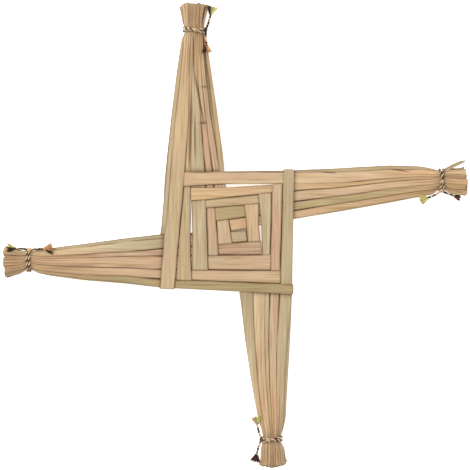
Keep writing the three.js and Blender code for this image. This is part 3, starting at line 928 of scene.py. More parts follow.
def cross_arms() -> list[Arm]:
    """Lists the four arms, clockwise from the right one.

    Returns:
        The arms, with their rushes laid out.
    """
    return [
        Arm(
            name="right",
            heading=0,
            length=149,
            tail=17.0,
            inset=(0, 8.0),
            shy=(0, 1.2),
            beside=(0.8, 2.4),
            rushes=[
                Rush(6.85, 4.35, 0.9, 0, Tone.ORANGE, (Crease(0.55, 0.02),), 0.14),
                Rush(6.9, 4.5, 1.1, 0, Tone.MOSS, (Crease(0.38, 0.04), Crease(0.7, 0.05)), 0.16),
                Rush(4.7, 5.8, 1.1, 0, Tone.TAN, shade=0.18),
                Rush(5.55, 3.4, 0.5, 0, Tone.ORANGE, (Crease(0.45),), 0.1),
                Rush(8.0, 7.9, 1.5, 1.3, Tone.TAN, (Crease(0.35, 0.03), Crease(0.7, 0.05)), 0.05),
            ],
            outline=Outline.of(
                (26.15, 13.75), (29.4, 12.1), (31.15, 9.75), (31.05, 8.25),
                (32.1, 6.0), (31.45, 8.15), (31.2, 8.9),
            ),
            ends=(
                YarnEnd(
                    -13.5, 6.2, 0.6, (0.2, 0.05, 0.3, 0.05, 0.48, 0.5, 0.1, 0.52, 0.5),
                    (0.64, 0.7, 0.76, 0.66),
                ),
                YarnEnd(
                    11.5, 4.2, 0.6, (0.5, 0.46, 0.5, 0.05, 0.1, 0.5, 0.93),
                    (0.98, 0.93, 0.5, 0.7),
                ),
            ),
            turn_dyes=(
                0.5, 0.05, 0.46, 0.3, 0.52, 0.34, 0.48, 0.05, 0.36, 0.3,
                0.5, 0.2, 0.46, 0.05, 0.52, 0.3, 0.4, 0.1,
            ),
            knot_dye=0.25,
            weathering=0.0,
            slits=(4,),
            crossing=62,
            marks=(
                Mark(60, 36.8, 9, 1.0, 0.8, -0.06),
                Mark(103, 38.6, 16, 1.0, 0.85, -0.16),
                Mark(97, 36.2, 20, 0.8, 0.4),
                Mark(141, 35.2, 13, 0.8, 0.6),
            ),
        ),
        Arm(
            name="lower",
            heading=-90,
            length=153.5,
            tail=18.8,
            inset=(CORE_CENTRE[0], 2.2),
            shy=(0, 0),
            beside=(0.6, 1.6),
            rushes=[
                Rush(CORE_CENTRE[1], 8.0, 0.8, 0, Tone.GREY, shade=0.3, flare=(0.7, 0.5), core=True),
                Rush(7.2, 6.4, 1.3, 0.9, Tone.TAN, (Crease(0.55, 0.04),), 0.06),
                Rush(5.4, 2.1, 0.5, 0.7, Tone.GREY, (Crease(0.5, 0.04),), 0.03),
                Rush(5.7, 5.2, 1.1, 0, Tone.PINK, (Crease(0.4),), 0.05),
                Rush(6.8, 7.4, 1.3, 0, Tone.GREY, (Crease(0.35, 0.03), Crease(0.68, 0.03)), 0.04),
            ],
            outline=Outline.of(
                (20.0, 14.6), (21.25, 11.65), (22.75, 8.95), (23.15, 6.75),
                (22.7, 5.7), (23.2, 7.6), (23.6, 8.7),
            ),
            ends=(
                YarnEnd(
                    -14.3, 3.6, 1.0, (0.1, 0.3, 0.05, 0.5, 0.52, 0.5, 0.2, 0.05),
                    (0.64, 0.7, 0.64, 0.3, 0.1),
                ),
                YarnEnd(
                    14, 4.0, 0.8, (0.48, 0.4, 0.05, 0.48, 0.2, 0.5, 0.3, 0.52),
                    (0.5, 0.98, 0.5, 0.52, 0.98),
                ),
            ),
            turn_dyes=(
                0.38, 0.2, 0.36, 0.05, 0.4, 0.3, 0.5, 0.05, 0.36, 0.2,
                0.42, 0.05, 0.37, 0.3, 0.45, 0.1, 0.36, 0.05,
            ),
            knot_dye=0.42,
            weathering=0.42,
            slits=(2,),
            tilt=-0.5,
            dome=2.0,
            marks=(
                Mark(152, 21.5, 6, 2.0, 0.4),
                Mark(148, 27.0, 9, 1.4, 0.35),
                Mark(145, 20.0, 18, 0.9, 0.75),
                Mark(145, 25.0, 18, 0.8, 0.7),
                Mark(146, 22.4, 3.5, 3.0, 0.35),
            ),
        ),
        Arm(
            name="left",
            heading=180,
            length=150.3,
            tail=16.9,
            inset=(0.7, 2.6),
            shy=(2.2, 0),
            beside=(1.9, 0.8),
            rushes=[
                Rush(7.0, 8.65, 1.2, 0, Tone.GREY, shade=0.3),
                Rush(6.85, 3.9, 0.5, 0, Tone.ROSE, (Crease(0.45, 0.05),), 0.12),
                Rush(8.65, 7.7, 1.5, 0, Tone.PINK, (Crease(0.3, 0.03), Crease(0.66, 0.03)), 0.09),
                Rush(6.6, 5.3, 1.2, 0, Tone.TAN, shade=0.19),
                Rush(5.4, 4.9, 0.7, 0, Tone.OLIVE, (Crease(0.45, 0.04),), 0.3),
            ],
            outline=Outline.of(
                (20.05, 14.75), (20.75, 11.75), (20.7, 8.8), (20.35, 7.35),
                (19.7, 6.0), (20.7, 7.5), (20.7, 9.9),
            ),
            ends=(
                YarnEnd(
                    -14.7, 0.8, 1.2, (0.84, 0.2, 0.5, 0.5, 0.3, 0.5, 0.5, 0.84),
                    (0.5, 0.84, 0.84, 0.2, 0.84),
                ),
                YarnEnd(
                    13.3, 1.2, 1.2, (0.5, 0.52, 0.48, 0.5, 0.93, 0.5, 0.3, 0.5),
                    (0.7, 0.64, 0.5, 0.48, 0.5),
                ),
            ),
            turn_dyes=(
                0.5, 0.05, 0.46, 0.1, 0.52, 0.84, 0.5, 0.05, 0.46, 0.3,
                0.5, 0.05, 0.4, 0.84, 0.5, 0.1, 0.46, 0.05,
            ),
            knot_dye=0.8,
            weathering=0.42,
            crossing=0,
            marks=(
                Mark(104, 23.4, 30, 3.2, 0.42, 0.02),
                Mark(120, 22.0, 22, 1.0, 0.4, 0.02),
                Mark(141, 16.2, 13, 0.7, 0.6, -0.05),
                Mark(142, 26.2, 13, 0.8, 0.65, 0.16),
                Mark(141, 21.5, 16, 6.0, 0.2),
            ),
        ),
        Arm(
            name="upper",
            heading=90,
            length=146.5,
            tail=18.1,
            inset=(-CORE_CENTRE[0] - CORE_CENTRE[1], 8.0),
            shy=(0, 3.0),
            beside=(2.2, 2.6),
            rushes=[
                Rush(
                    CORE_CENTRE[1], 2.9, 0.6, 0, Tone.GREY,
                    shade=0.2, ripe=0.5, flare=(1.1, 0.1), core=True, bend=CORE_BEND,
                ),
                Rush(7.4, 3.1, 0.9, 0.9, Tone.CREAM, (Crease(0.48, 0.16),), 0.15),
                Rush(5.2, 3.5, 0.8, 0, Tone.PINK, (Crease(0.5, 0.03),), 0.17),
                Rush(8.7, 8.2, 1.2, 0, Tone.GREY, (Crease(0.62, 0.06), Crease(0.3, 0.03)), 0.15),
                Rush(5.6, 2.1, 0.5, 0.8, Tone.SAND, shade=0.2, ripe=0.3, flare=(0.1, 0)),
                Rush(
                    9.5, 11.7, 2.0, 0.4, Tone.SAND, (Crease(0.3, 0.03), Crease(0.62, 0.04)),
                    shade=0.12, ripe=0.3, flare=(0.1, 1.2),
                ),
            ],
            outline=Outline.of(
                (26.95, 15.35), (27.25, 11.65), (27.35, 9.15), (27.1, 8.0),
                (27.0, 6.2), (27.6, 7.2), (27.2, 9.3),
            ),
            ends=(
                YarnEnd(
                    -14.2, 0.9, 3.8, (0.5, 0.48, 0.5, 0.3, 0.2, 0.05, 0.5, 0.98),
                    (0.98, 0.5, 0.98, 0.84, 0.2),
                ),
                YarnEnd(
                    14.6, 4.4, 1.2, (0.5, 0.46, 0.5, 0.52, 0.46, 0.3, 0.5, 0.48),
                    (0.76, 0.74, 0.68, 0.46, 0.5),
                ),
            ),
            turn_dyes=(
                0.38, 0.05, 0.36, 0.0, 0.45, 0.3, 0.37, 0.05, 0.35, 0.2,
                0.46, 0.0, 0.38, 0.3, 0.45, 0.05, 0.36, 0.1,
            ),
            knot_dye=0.5,
            slits=(4,),
            tilt=0.8,
            dome=1.8,
            marks=(
                Mark(91.9, 19.8, 1.5, 6.5, 0.7),
                Mark(68.8, 21.4, 1.8, 4.2, 0.95),
                Mark(85, 24.0, 36, 1.2, 0.9, 0.19),
                Mark(115, 27.5, 24, 1.1, 0.9),
                Mark(62, 29.8, 46, 1.2, 0.9, -0.02),
                Mark(60, 26.7, 26, 1.2, 0.8),
                Mark(108, 30.6, 22, 0.7, 0.5, -0.04),
                Mark(118, 22.4, 18, 0.7, 0.6),
                Mark(138, 30.6, 17, 1.0, 0.7),
                Mark(138, 28.3, 14, 0.6, 0.5),
                Mark(138, 23.7, 17, 0.8, 0.65),
            ),
        ),
    ]


def index_of(arms: list[Arm], name: str) -> int:
    """Gives the place of the arm with a name."""
    return [arm.name for arm in arms].index(name)


class Side(Enum):
    """The front or the back of the cross, by the sign of its heights."""

    FRONT = 1
    BACK = -1


@dataclass
class Leg:
    """A leg of a rush at its stations: places along, plan corners, and heights of both faces by column."""

    place: np.ndarray
    corners: np.ndarray
    top: np.ndarray
    low: np.ndarray
    flat: np.ndarray
    goes_under: bool


@dataclass
class RushShape:
    """Builds the fine surface of one rush from the weave's layout."""

    arms: list[Arm]
    index: int
    rush: Rush
    name: str
    seed: int
    rest: np.ndarray

    @property
    def arm(self) -> Arm:
        """The rush's arm."""
        return self.arms[self.index]

    @property
    def share(self) -> np.ndarray:
        """Shares of the width, 0 to 1, closer together near the edges: half less half the cosine."""
        return 0.5 - 0.5 * np.cos(np.linspace(0, np.pi, TOP_COLUMNS))

    def rounded(self, power: float) -> np.ndarray:
        """Gives a section that is 1 in the middle and 0 at the edges, on a superellipse of a power."""
        return (1 - np.abs(2 * self.share - 1) ** power) ** (1 / power)

    def flat_profile(self, layer: tuple[float, float]) -> tuple[np.ndarray, np.ndarray]:
        """Works out a flat strip's section: its middle height, more and less the rounded half thickness.

        Args:
            layer: the heights of its two faces.

        Returns:
            The upper and the lower face's heights by column.
        """
        middle, half = sum(layer) / 2, (layer[1] - layer[0]) / 2
        bulge = half * self.rounded(EDGE_ROUNDNESS)
        return middle + bulge, middle - bulge

    def rib_profile(
        self, bundle: Bundle, half_height: float, column: tuple[float, float]
    ) -> tuple[np.ndarray, np.ndarray]:
        """Works out a gathered leg's section: the bundle's half ellipse less a groove at each edge.

        Args:
            bundle: the bundle's middle and half breadth.
            half_height: its height over the middle plane.
            column: the leg's two edges.

        Returns:
            The upper and the lower face's heights by column.
        """
        across = column[0] + (column[1] - column[0]) * self.share
        reach = np.clip((across - bundle.offset) / bundle.half_width, -1, 1)
        dome = half_height * np.sqrt(1 - reach**2)
        bulge = self.rounded(RIB_ROUNDNESS)
        least = UNDER[0] + RIB_EDGE + RIB_SWELL * bulge
        top = np.maximum(dome - GROOVE_DEPTH * (1 - bulge), least)
        return top, np.full(TOP_COLUMNS, UNDER[0]) + RIB_RISE * (1 - bulge)

    @staticmethod
    def plan(
        edges: tuple[Edge, Edge], along: tuple[float, float], overhang: tuple[float, float]
    ) -> list[float]:
        """Gives a station's two plan corners, spread a little over the seams."""
        (inner, outer), (a, b) = edges, along
        return [a, inner.across(a) - overhang[0], b, outer.across(b) + overhang[1]]

    def overhang(self, side: Side, openness: float, flare: float) -> tuple[float, float]:
        """Works out how far a leg spreads over its two seams at a station.

        Args:
            side: front or back.
            openness: 1 where a slit stands open and 0 where it is closed.
            flare: share of the rush's flare there.

        Returns:
            The overhang at its inner and at its outer side.
        """
        rush = self.rush
        usual = rush.overhang if side is Side.FRONT else rush.closed
        inner, outer = (
            SLIT_OVERHANG * openness + closed * (1 - openness) if slit else plain
            for plain, closed, slit in zip(usual, rush.closed, rush.beside_slit)
        )
        return inner + rush.flare[0] * flare, outer + rush.flare[1] * flare

    def leg(self, side: Side) -> Leg:
        """Works out a folded rush's leg from the fold to the tip.

        Args:
            side: front or back.

        Returns:
            The leg's stations.
        """
        before = self.arms[self.index - 1]
        after = self.arms[(self.index + 1) % len(self.arms)]
        rush = self.rush
        clasped = before.rushes[rush.place - self.arm.first_round].outer
        innermost = before.rushes[0].inner
        above = next(
            (r for r in after.rushes if not r.core and r.place - after.first_round >= rush.place), None
        )
        edges = (rush.inner, rush.outer)
        fold = tuple(e.meet_before(clasped) for e in edges)
        if side is Side.FRONT:
            inner, outer = edges
            edges = (inner.turned(fold[0], rush.shy_inner), outer.turned(fold[1], -rush.shy_outer))
        over_end = tuple(e.meet_before(innermost) for e in edges)
        under = tuple(
            e.meet_after(above.inner) if above else end + OPEN_DIVE for e, end in zip(edges, over_end)
        )
        mouth = tuple(e.meet_after(after.rushes[-1].outer) + CLEARANCE for e in edges)
        flares = FRONT_FLARES if side is Side.FRONT else BACK_FLARES
        corners = [
            self.plan(edges, along, self.overhang(side, openness, flare))
            for along, openness, flare in zip((fold, over_end, under, mouth), SLIT_OPENNESS, flares)
        ]
        profiles = [self.flat_profile(layer) for layer in (OVER, OVER, UNDER, UNDER)]
        return self.gathered(corners, profiles, side, above is not None)

    def core_leg(self) -> Leg:
        """Works out half of the core rush, from the weave's middle to this arm's tip.

        Returns:
            The leg's stations.
        """
        rush = self.rush
        edges = (rush.inner, rush.outer)
        corners = [
            self.plan(edges, (along, along), self.overhang(Side.FRONT, 0, flare))
            for along, flare in ((0.0, 1), (BEND_LINE, 0))
        ]
        inner, outer = rush.mouth_column
        corners.append([MOUTH_LINE, inner - rush.overhang[0], MOUTH_LINE, outer + rush.overhang[1]])
        top = UNDER[1] * (0.5 + 0.5 * self.rounded(EDGE_ROUNDNESS))
        return self.gathered(corners, [(top, -top)] * 3, Side.FRONT, False)

    def gathered(
        self,
        corners: list[list[float]],
        profiles: list[tuple[np.ndarray, np.ndarray]],
        side: Side,
        goes_under: bool,
    ) -> Leg:
        """Adds the bundle's stations to a leg.

        Args:
            corners: the plan corners so far.
            profiles: the faces so far.
            side: front or back.
            goes_under: whether it comes out from below another rush at the mouth.

        Returns:
            The whole leg.
        """
        flat = [1.0] * len(corners)
        corners, profiles = list(corners), list(profiles)
        cut = TIP_RAGGEDNESS * ((self.rush.place * 3 + (2 if side is Side.BACK else 0)) % 5) / 4
        spread = [BUNDLE_OVERHANG if reach > FREE_OVERHANG else 0.0 for reach in self.rush.overhang]
        for along, whole, height, evenness, beside in self.arm.bundle_stations():
            narrowed = side is Side.FRONT and not self.rush.core
            bundle = whole.less(*(beside * breadth for breadth in self.arm.beside)) if narrowed else whole
            column = self.arm.columns(bundle, evenness)[self.rush.place]
            at = along - (cut if along == self.arm.length and not self.rush.core else 0)
            corners.append([at, column[0] - spread[0], at, column[1] + spread[1]])
            top, low = self.rib_profile(bundle, height, column)
            profiles.append((top, -top if self.rush.core else low))
            flat.append(0.0)
        corners = np.array(corners)
        return Leg(
            corners[:, [0, 2]].mean(1),
            corners,
            np.array([p[0] for p in profiles]),
            np.array([p[1] for p in profiles]),
            np.array(flat),
            goes_under,
        )

    def gathering(self, s: np.ndarray) -> np.ndarray:
        """Gives how far the rush is squeezed together at places along, 0 in the weave to 1 at the yarn."""
        return smooth((s - BELLY_LINE) / (self.arm.tie - PINCH_RUN - BELLY_LINE))

    def relief(self, rng: np.random.Generator, s: np.ndarray, width: np.ndarray) -> np.ndarray:
        """Works out how far the outer face sinks: creases, fluting and small dents, all inwards.

        Args:
            rng: the seeded source.
            s: places along.
            width: the strip's width at each place.

        Returns:
            Depths, one row for each place and one column for each share of the width.
        """
        u = self.share[None, :]
        gather = self.gathering(s)[:, None]
        depth = np.zeros((len(s), TOP_COLUMNS))
        for crease in self.rush.creases:
            middle = crease.share + CREASE_WANDER * drift(rng, s, step=26)[:, None]
            spread = (CREASE_WIDTH + GATHERED_CREASE_WIDTH * gather) / width[:, None]
            deep = crease.flat_depth + (crease.bundle_depth - crease.flat_depth) * gather
            depth += deep * np.exp(-(((u - middle) / spread) ** 2))
        for waves in FLUTE_WAVES:
            phase = rng.uniform(0, 2 * np.pi) + FLUTE_WANDER * drift(rng, s, step=40)[:, None]
            deep = FLUTE_DEPTH + GATHERED_FLUTE_DEPTH * gather / waves * FLUTE_WAVES[0]
            depth += deep * (0.5 + 0.5 * np.sin(2 * np.pi * waves * u + phase))
        depth += DENT_DEPTH * (1 + drift(rng, s, step=9)[:, None]) * (1 - gather)
        return depth * self.rounded(RELIEF_FLATNESS)[None, :]

    def browned_and_shaded(self, rng: np.random.Generator, s: np.ndarray, width: np.ndarray) -> np.ndarray:
        """Works out how dark a leg is painted along its edges and its creases: brown edges with painted
        seam shadow, and painted shade in the creases.

        Args:
            rng: the seeded source.
            s: places along.
            width: the strip's width at each place.

        Returns:
            Values of 0 to 1, one row for each place and one column for each share of the width.
        """
        u = self.share[None, :]
        gather = self.gathering(s)[:, None]
        soft = SOFT_LINE_WIDTH - SOFT_LINE_SHARPENING * gather
        brown = np.zeros((len(s), TOP_COLUMNS))
        distances = (u * width[:, None], (1 - u) * width[:, None])
        shy = (self.rush.shy_inner, self.rush.shy_outer)
        for distance, over, back in zip(distances, self.rush.overhang, shy):
            # The soft line is partly brown edge and partly painted seam shadow; the narrow dark line is
            # painted shadow in the seam
            dark = DARK_LINE * np.exp(-((distance / DARK_LINE_WIDTH) ** 2))
            line = SOFT_LINE * np.exp(-((distance / soft) ** 2)) + dark
            plain = FREE_EDGE_BROWNING if over == FREE_OVERHANG and not back else 1.0
            depth = plain * (1 - gather + rng.uniform(*GATHERED_BROWNING) * gather)
            line_wander = EDGE_LINE_WANDER.along(rng, s)[:, None]
            brown = np.maximum(brown, np.minimum(line * depth, MOST_BROWNED) * line_wander)
        # Painted shade along the creases, darker for deeper creases in the weave
        for crease in self.rush.creases:
            near = np.abs(u - crease.share) * width[:, None]
            amount = CREASE_SHADE_WANDER.along(rng, s)[:, None]
            strength = CREASE_SHADE * gather + FLAT_CREASE_SHADE * crease.flat_depth
            brown = np.maximum(brown, strength * np.exp(-((near / CREASE_LINE_WIDTH) ** 2)) * amount)
        return brown

    def stained_and_shaded(
        self,
        rng: np.random.Generator,
        s: np.ndarray,
        leg: Leg,
        side: Side,
        along: np.ndarray,
        across: np.ndarray,
    ) -> np.ndarray:
        """Works out a leg's stains and painted shade: the arm's marks, painted shadow at its mouth, painted
        shade under the yarn, and weathering past it.

        Args:
            rng: the seeded source.
            s: places along.
            leg: the stations.
            side: front or back.
            along: distances along of the leg's points.
            across: their distances across.

        Returns:
            Values of 0 to 1, one row for each place and one column for each share of the width.
        """
        u = self.share[None, :]
        stain_and_shade = np.zeros_like(along)
        if side is Side.FRONT:
            for mark in self.arm.marks:
                stain_and_shade = np.maximum(stain_and_shade, mark.weight(along, across))
        # Painted shadow of the rush above, just past the mouth
        if leg.goes_under:
            mouth = leg.place[3]
            out = np.clip((s - mouth) / DIVE_SHADOW_RUN, 0, 9)[:, None]
            stain_and_shade = np.maximum(stain_and_shade, DIVE_SHADOW * np.exp(-(out**2)) * (s >= mouth - 1)[:, None])
        tail = smooth((s - self.arm.tie - 1) / WEATHERING_RUN)[:, None]
        amount = self.arm.weathering * rng.uniform(*WEATHERING_SPREAD)
        stain_and_shade = np.maximum(stain_and_shade, amount * tail * (0.6 + 0.4 * np.sin(u * WEATHERING_WAVES + self.seed)))
        # Painted shade under and beside the yarn
        under_yarn = np.exp(-(((s - self.arm.tie) / YARN_SHADE_RUN) ** 2))[:, None]
        return np.maximum(stain_and_shade, YARN_SHADE * under_yarn)

    def toned(
        self, rng: np.random.Generator, s: np.ndarray, flat: np.ndarray, side: Side
    ) -> dict[str, np.ndarray]:
        """Works out how green, shaded and ripe a leg is.

        Args:
            rng: the seeded source.
            s: places along.
            flat: 1 in the weave and 0 in the bundle, at each place.
            side: front or back.

        Returns:
            Values by name, each with one row for each place and one column for each share of the width.
        """
        green = GREEN_PATCHES.along(rng, s) * (BUNDLE_GREEN + (1 - BUNDLE_GREEN) * flat)
        shade = self.rush.shade * (BUNDLE_SHADE + (1 - BUNDLE_SHADE) * flat)
        shade = np.clip(shade + SHADE_DRIFT * drift(rng, s, SHADE_STEP), 0, 1)
        ripe = RIPENESS * self.gathering(s) * RIPE_PATCHES.along(rng, s)
        ripe = np.maximum(ripe, self.rush.ripe * smooth((s - MOUTH_LINE) / RIPENING_RUN))
        # The back legs lie under the front ones: greener, less ripe, and darker by painted shade
        if side is Side.BACK:
            ripe = BACK_RIPENESS * ripe
            green = np.clip(green + BACK_GREENNESS, 0, 1)
            shade = shade + BACK_SHADE
        tones = {"green": green, "shade": shade, "ripe": ripe}
        return {name: np.repeat(tone[:, None], TOP_COLUMNS, 1) for name, tone in tones.items()}

    def rings(self, leg: Leg, side: Side, rng: np.random.Generator) -> dict[str, np.ndarray]:
        """Fills a leg in between its stations, from its start to its tip.

        Args:
            leg: the stations.
            side: front or back.
            rng: the seeded source.

        Returns:
            Points of both faces by ring and column, with uv and painted values.
        """
        start, end = leg.place[0], leg.place[-1]
        s = np.linspace(start, end, int((end - start) / RING_STEP) + 1)
        rows = (leg.corners, leg.top, leg.low)
        corners, top, low = (softened(leg.place, values, s, CORNER_REACH) for values in rows)
        flat = np.interp(s, leg.place, leg.flat)
        width = np.hypot(corners[:, 2] - corners[:, 0], corners[:, 3] - corners[:, 1])
        wander = EDGE_WANDER * (1 - EDGE_STEADIED * (1 - flat))
        corners[:, 1] += wander * drift(rng, s, step=13)
        corners[:, 3] += wander * drift(rng, s, step=11)
        u = self.share[None, :]
        along = corners[:, :1] + (corners[:, 2:3] - corners[:, :1]) * u
        across = corners[:, 1:2] + (corners[:, 3:] - corners[:, 1:2]) * u
        top = top - self.relief(rng, s, width)
        tip = self.arm.outline.tip
        jag = TIP_JAG * rng.random(TOP_COLUMNS).cumsum() % TIP_JAG
        jag = jag + self.arm.dome * ((across - tip.offset) / tip.half_width) ** 2
        along = along - jag * smooth((s - end + TIP_JAG_RUN) / TIP_JAG_RUN)[:, None]
        return {
            "outer": np.stack([along, across, side.value * top], 2),
            "inner": np.stack([along, across, side.value * low], 2),
            "uv": np.stack([s[:, None] + 0 * u, across], 2),
            "edge": self.browned_and_shaded(rng, s, width),
            "stain_and_shade": self.stained_and_shaded(rng, s, leg, side, along, across),
            **self.toned(rng, s, flat, side),
        }

    def fold_rings(self, start: np.ndarray, front: dict, back: dict) -> dict[str, np.ndarray]:
        """Bends the strip round the edge that it clasps.

        A ring at angle p, from 90 to -90 degrees, has its faces' heights times the sine of p and its shift
        back along the rush times the cosine of p to the power of the fold's fullness.

        Args:
            start: the fold's plan corners.
            front: the front leg's rings.
            back: the back leg's rings.

        Returns:
            Points, uv and painted values, as for a leg.
        """
        angle = np.linspace(np.pi / 2, -np.pi / 2, FOLD_RINGS + 2)[1:-1]
        sine = np.sin(angle)[:, None]
        cosine = (np.cos(angle) ** FOLD_FULLNESS)[:, None]
        u = self.share[None, :]
        along = start[0] + (start[2] - start[0]) * u
        across = start[1] + (start[3] - start[1]) * u
        bulge = self.rounded(EDGE_ROUNDNESS)[None, :]
        middle = (OVER[0] + OVER[1]) / 2
        half = RUSH_THICKNESS / 2
        reach = CLEARANCE + half

        def face(sign: float) -> np.ndarray:
            """Works out one face of the bend.

            Args:
                sign: 1 for the outer face and -1 for the inner one.

            Returns:
                Its points by ring and column.
            """
            shift = (reach + sign * half * bulge) * cosine
            height = (middle + sign * half * bulge) * sine
            return np.stack([along - shift, across + 0 * shift, height], 2)

        share = (1 - sine) / 2
        blend = {key: front[key][0] * (1 - share) + back[key][0] * share for key in PAINTED}
        # Painted shade where the fold turns away
        blend["edge"] = np.maximum(blend["edge"], FOLD_SHADE * cosine + 0 * u)
        uv = np.stack([along - 2 * (1 - sine), across + 0 * sine], 2)
        return {"outer": face(1), "inner": face(-1), "uv": uv, **blend}

    def surface(self) -> Surface:
        """Builds the whole rush as one closed tube of rings.

        Returns:
            The surface in the row frame.
        """
        rng = np.random.default_rng(self.seed)
        if self.rush.core:
            upper, lower = self.core_halves(rng)
            parts = [self.reversed(upper), {key: value[1:] for key, value in lower.items()}]
        else:
            front_leg, back_leg = self.leg(Side.FRONT), self.leg(Side.BACK)
            front = self.rings(front_leg, Side.FRONT, rng)
            back = self.rings(back_leg, Side.BACK, rng)
            back["uv"] = back["uv"] * np.array([-1.0, 1.0]) + np.array([-FOLD_UV_RUN, 0.0])
            fold = self.fold_rings(front_leg.corners[0], front, back)
            parts = [self.reversed(front), fold, back]
        whole = {key: np.concatenate([part[key] for part in parts]) for key in parts[0]}
        return self.skin(whole)

    @staticmethod
    def reversed(part: dict[str, np.ndarray]) -> dict[str, np.ndarray]:
        """Gives the rings in the other order."""
        return {key: value[::-1] for key, value in part.items()}

    def core_halves(self, rng: np.random.Generator) -> tuple[dict, dict]:
        """Builds the core rush's two halves in the upper arm's frame.

        Args:
            rng: the seeded source.

        Returns:
            The upper half and the lower half.
        """
        below = index_of(self.arms, "lower")
        other = replace(self, index=below, rush=self.arms[below].rushes[0])
        upper = self.rings(self.core_leg(), Side.FRONT, rng)
        lower = other.rings(other.core_leg(), Side.FRONT, rng)
        lower = {key: value[:, ::-1] for key, value in lower.items()}
        for face in ("outer", "inner"):
            lower[face] = lower[face] * np.array([-1.0, -1.0, 1.0])
        lower["uv"] = lower["uv"] * np.array([-1.0, -1.0])
        return upper, lower

    def skin(self, whole: dict[str, np.ndarray]) -> Surface:
        """Joins both faces of every ring into one closed tube.

        Args:
            whole: the rings.

        Returns:
            The surface in the row frame.
        """
        pick = np.linspace(TOP_COLUMNS - 1, 0, UNDERSIDE_COLUMNS + 2).round().astype(int)[1:-1]
        points = np.concatenate([whole["outer"], whole["inner"][:, pick]], 1)
        rings, sides = points.shape[:2]
        quads, caps = tube_faces(rings, sides)
        offset = self.seed * np.array(GRAIN_SHIFT)
        uv = (np.concatenate([whole["uv"], whole["uv"][:, pick]], 1).reshape(-1, 2) + offset) * MM
        paint = {key: np.concatenate([whole[key], whole[key][:, pick]], 1).ravel() for key in PAINTED}
        placed = self.arm.to_row(points.reshape(-1, 3), self.rest)
        return Surface(placed, quads, caps, uv, paint).facing_out()


@dataclass
class Splinter:
    """A thin strip that has split off a rush and stands away from the bundle past the yarn."""

    arm: Arm
    rest: np.ndarray
    start: tuple[float, float, float] = (133.8, 37.9, 1.0)
    end: tuple[float, float, float] = (147.2, 44.4, 3.4)
    width: float = 2.3
    thickness: float = 0.4
    bow: float = 0.4
    roll: float = 0.25
    taper: float = 0.8
    rings: int = 26
    sides: int = 10

    def surface(self) -> Surface:
        """Carries a flat oval along a slightly bowed line, square to it in plan, that tapers to its end.

        Returns:
            The surface in the row frame.
        """
        t = np.linspace(0, 1, self.rings)[:, None]
        line = np.array(self.start) * (1 - t) + np.array(self.end) * t
        line[:, 1] += self.bow * np.sin(np.pi * t[:, 0])
        run = np.gradient(line[:, :2], axis=0)
        run /= np.linalg.norm(run, axis=1, keepdims=True)
        angle = np.linspace(0, 2 * np.pi, self.sides, endpoint=False)[None, :]
        half = self.width / 2 * (1 - self.taper * t**8)
        points = np.stack(
            [
                line[:, :1] - run[:, 1:] * half * np.cos(angle),
                line[:, 1:2] + run[:, :1] * half * np.cos(angle),
                line[:, 2:] + self.thickness / 2 * np.sin(angle) - self.roll * np.cos(angle),
            ],
            2,
        )
        quads, caps = tube_faces(self.rings, self.sides)
        uv = (np.stack([line[:, :1] + 0 * angle, half * np.cos(angle)], 2).reshape(-1, 2)) * MM
        levels = {"stain_and_shade": 0.1, "green": 1.0, "shade": 0.15, "ripe": 0.0}
        paint = {key: np.full(self.rings * self.sides, level) for key, level in levels.items()}
        paint["edge"] = (0.5 + 0.5 * np.tile(np.cos(angle[0]), self.rings)) ** 3
        placed = self.arm.to_row(points.reshape(-1, 3), self.rest)
        return Surface(placed, quads, caps, uv, paint).facing_out()


@dataclass
class RushPiece:
    """A dressed rush: its surface, its finish and what it stands for."""

    shape: RushShape
    extra: tuple[Splinter, ...] = ()

    def build(self, finishes: dict[Tone, bpy.types.Material]) -> bpy.types.Object:
        """Makes the piece and gives it to the frame.

        Args:
            finishes: a material for each tone.

        Returns:
            The piece.
        """
        tone = self.shape.rush.tone
        surface = Surface.joined([self.shape.surface(), *(part.surface() for part in self.extra)])
        piece = surface.to_object("dried_" + self.shape.name, finishes[tone])
        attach(piece, BODY)
        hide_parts(self.shape.name)
        return piece


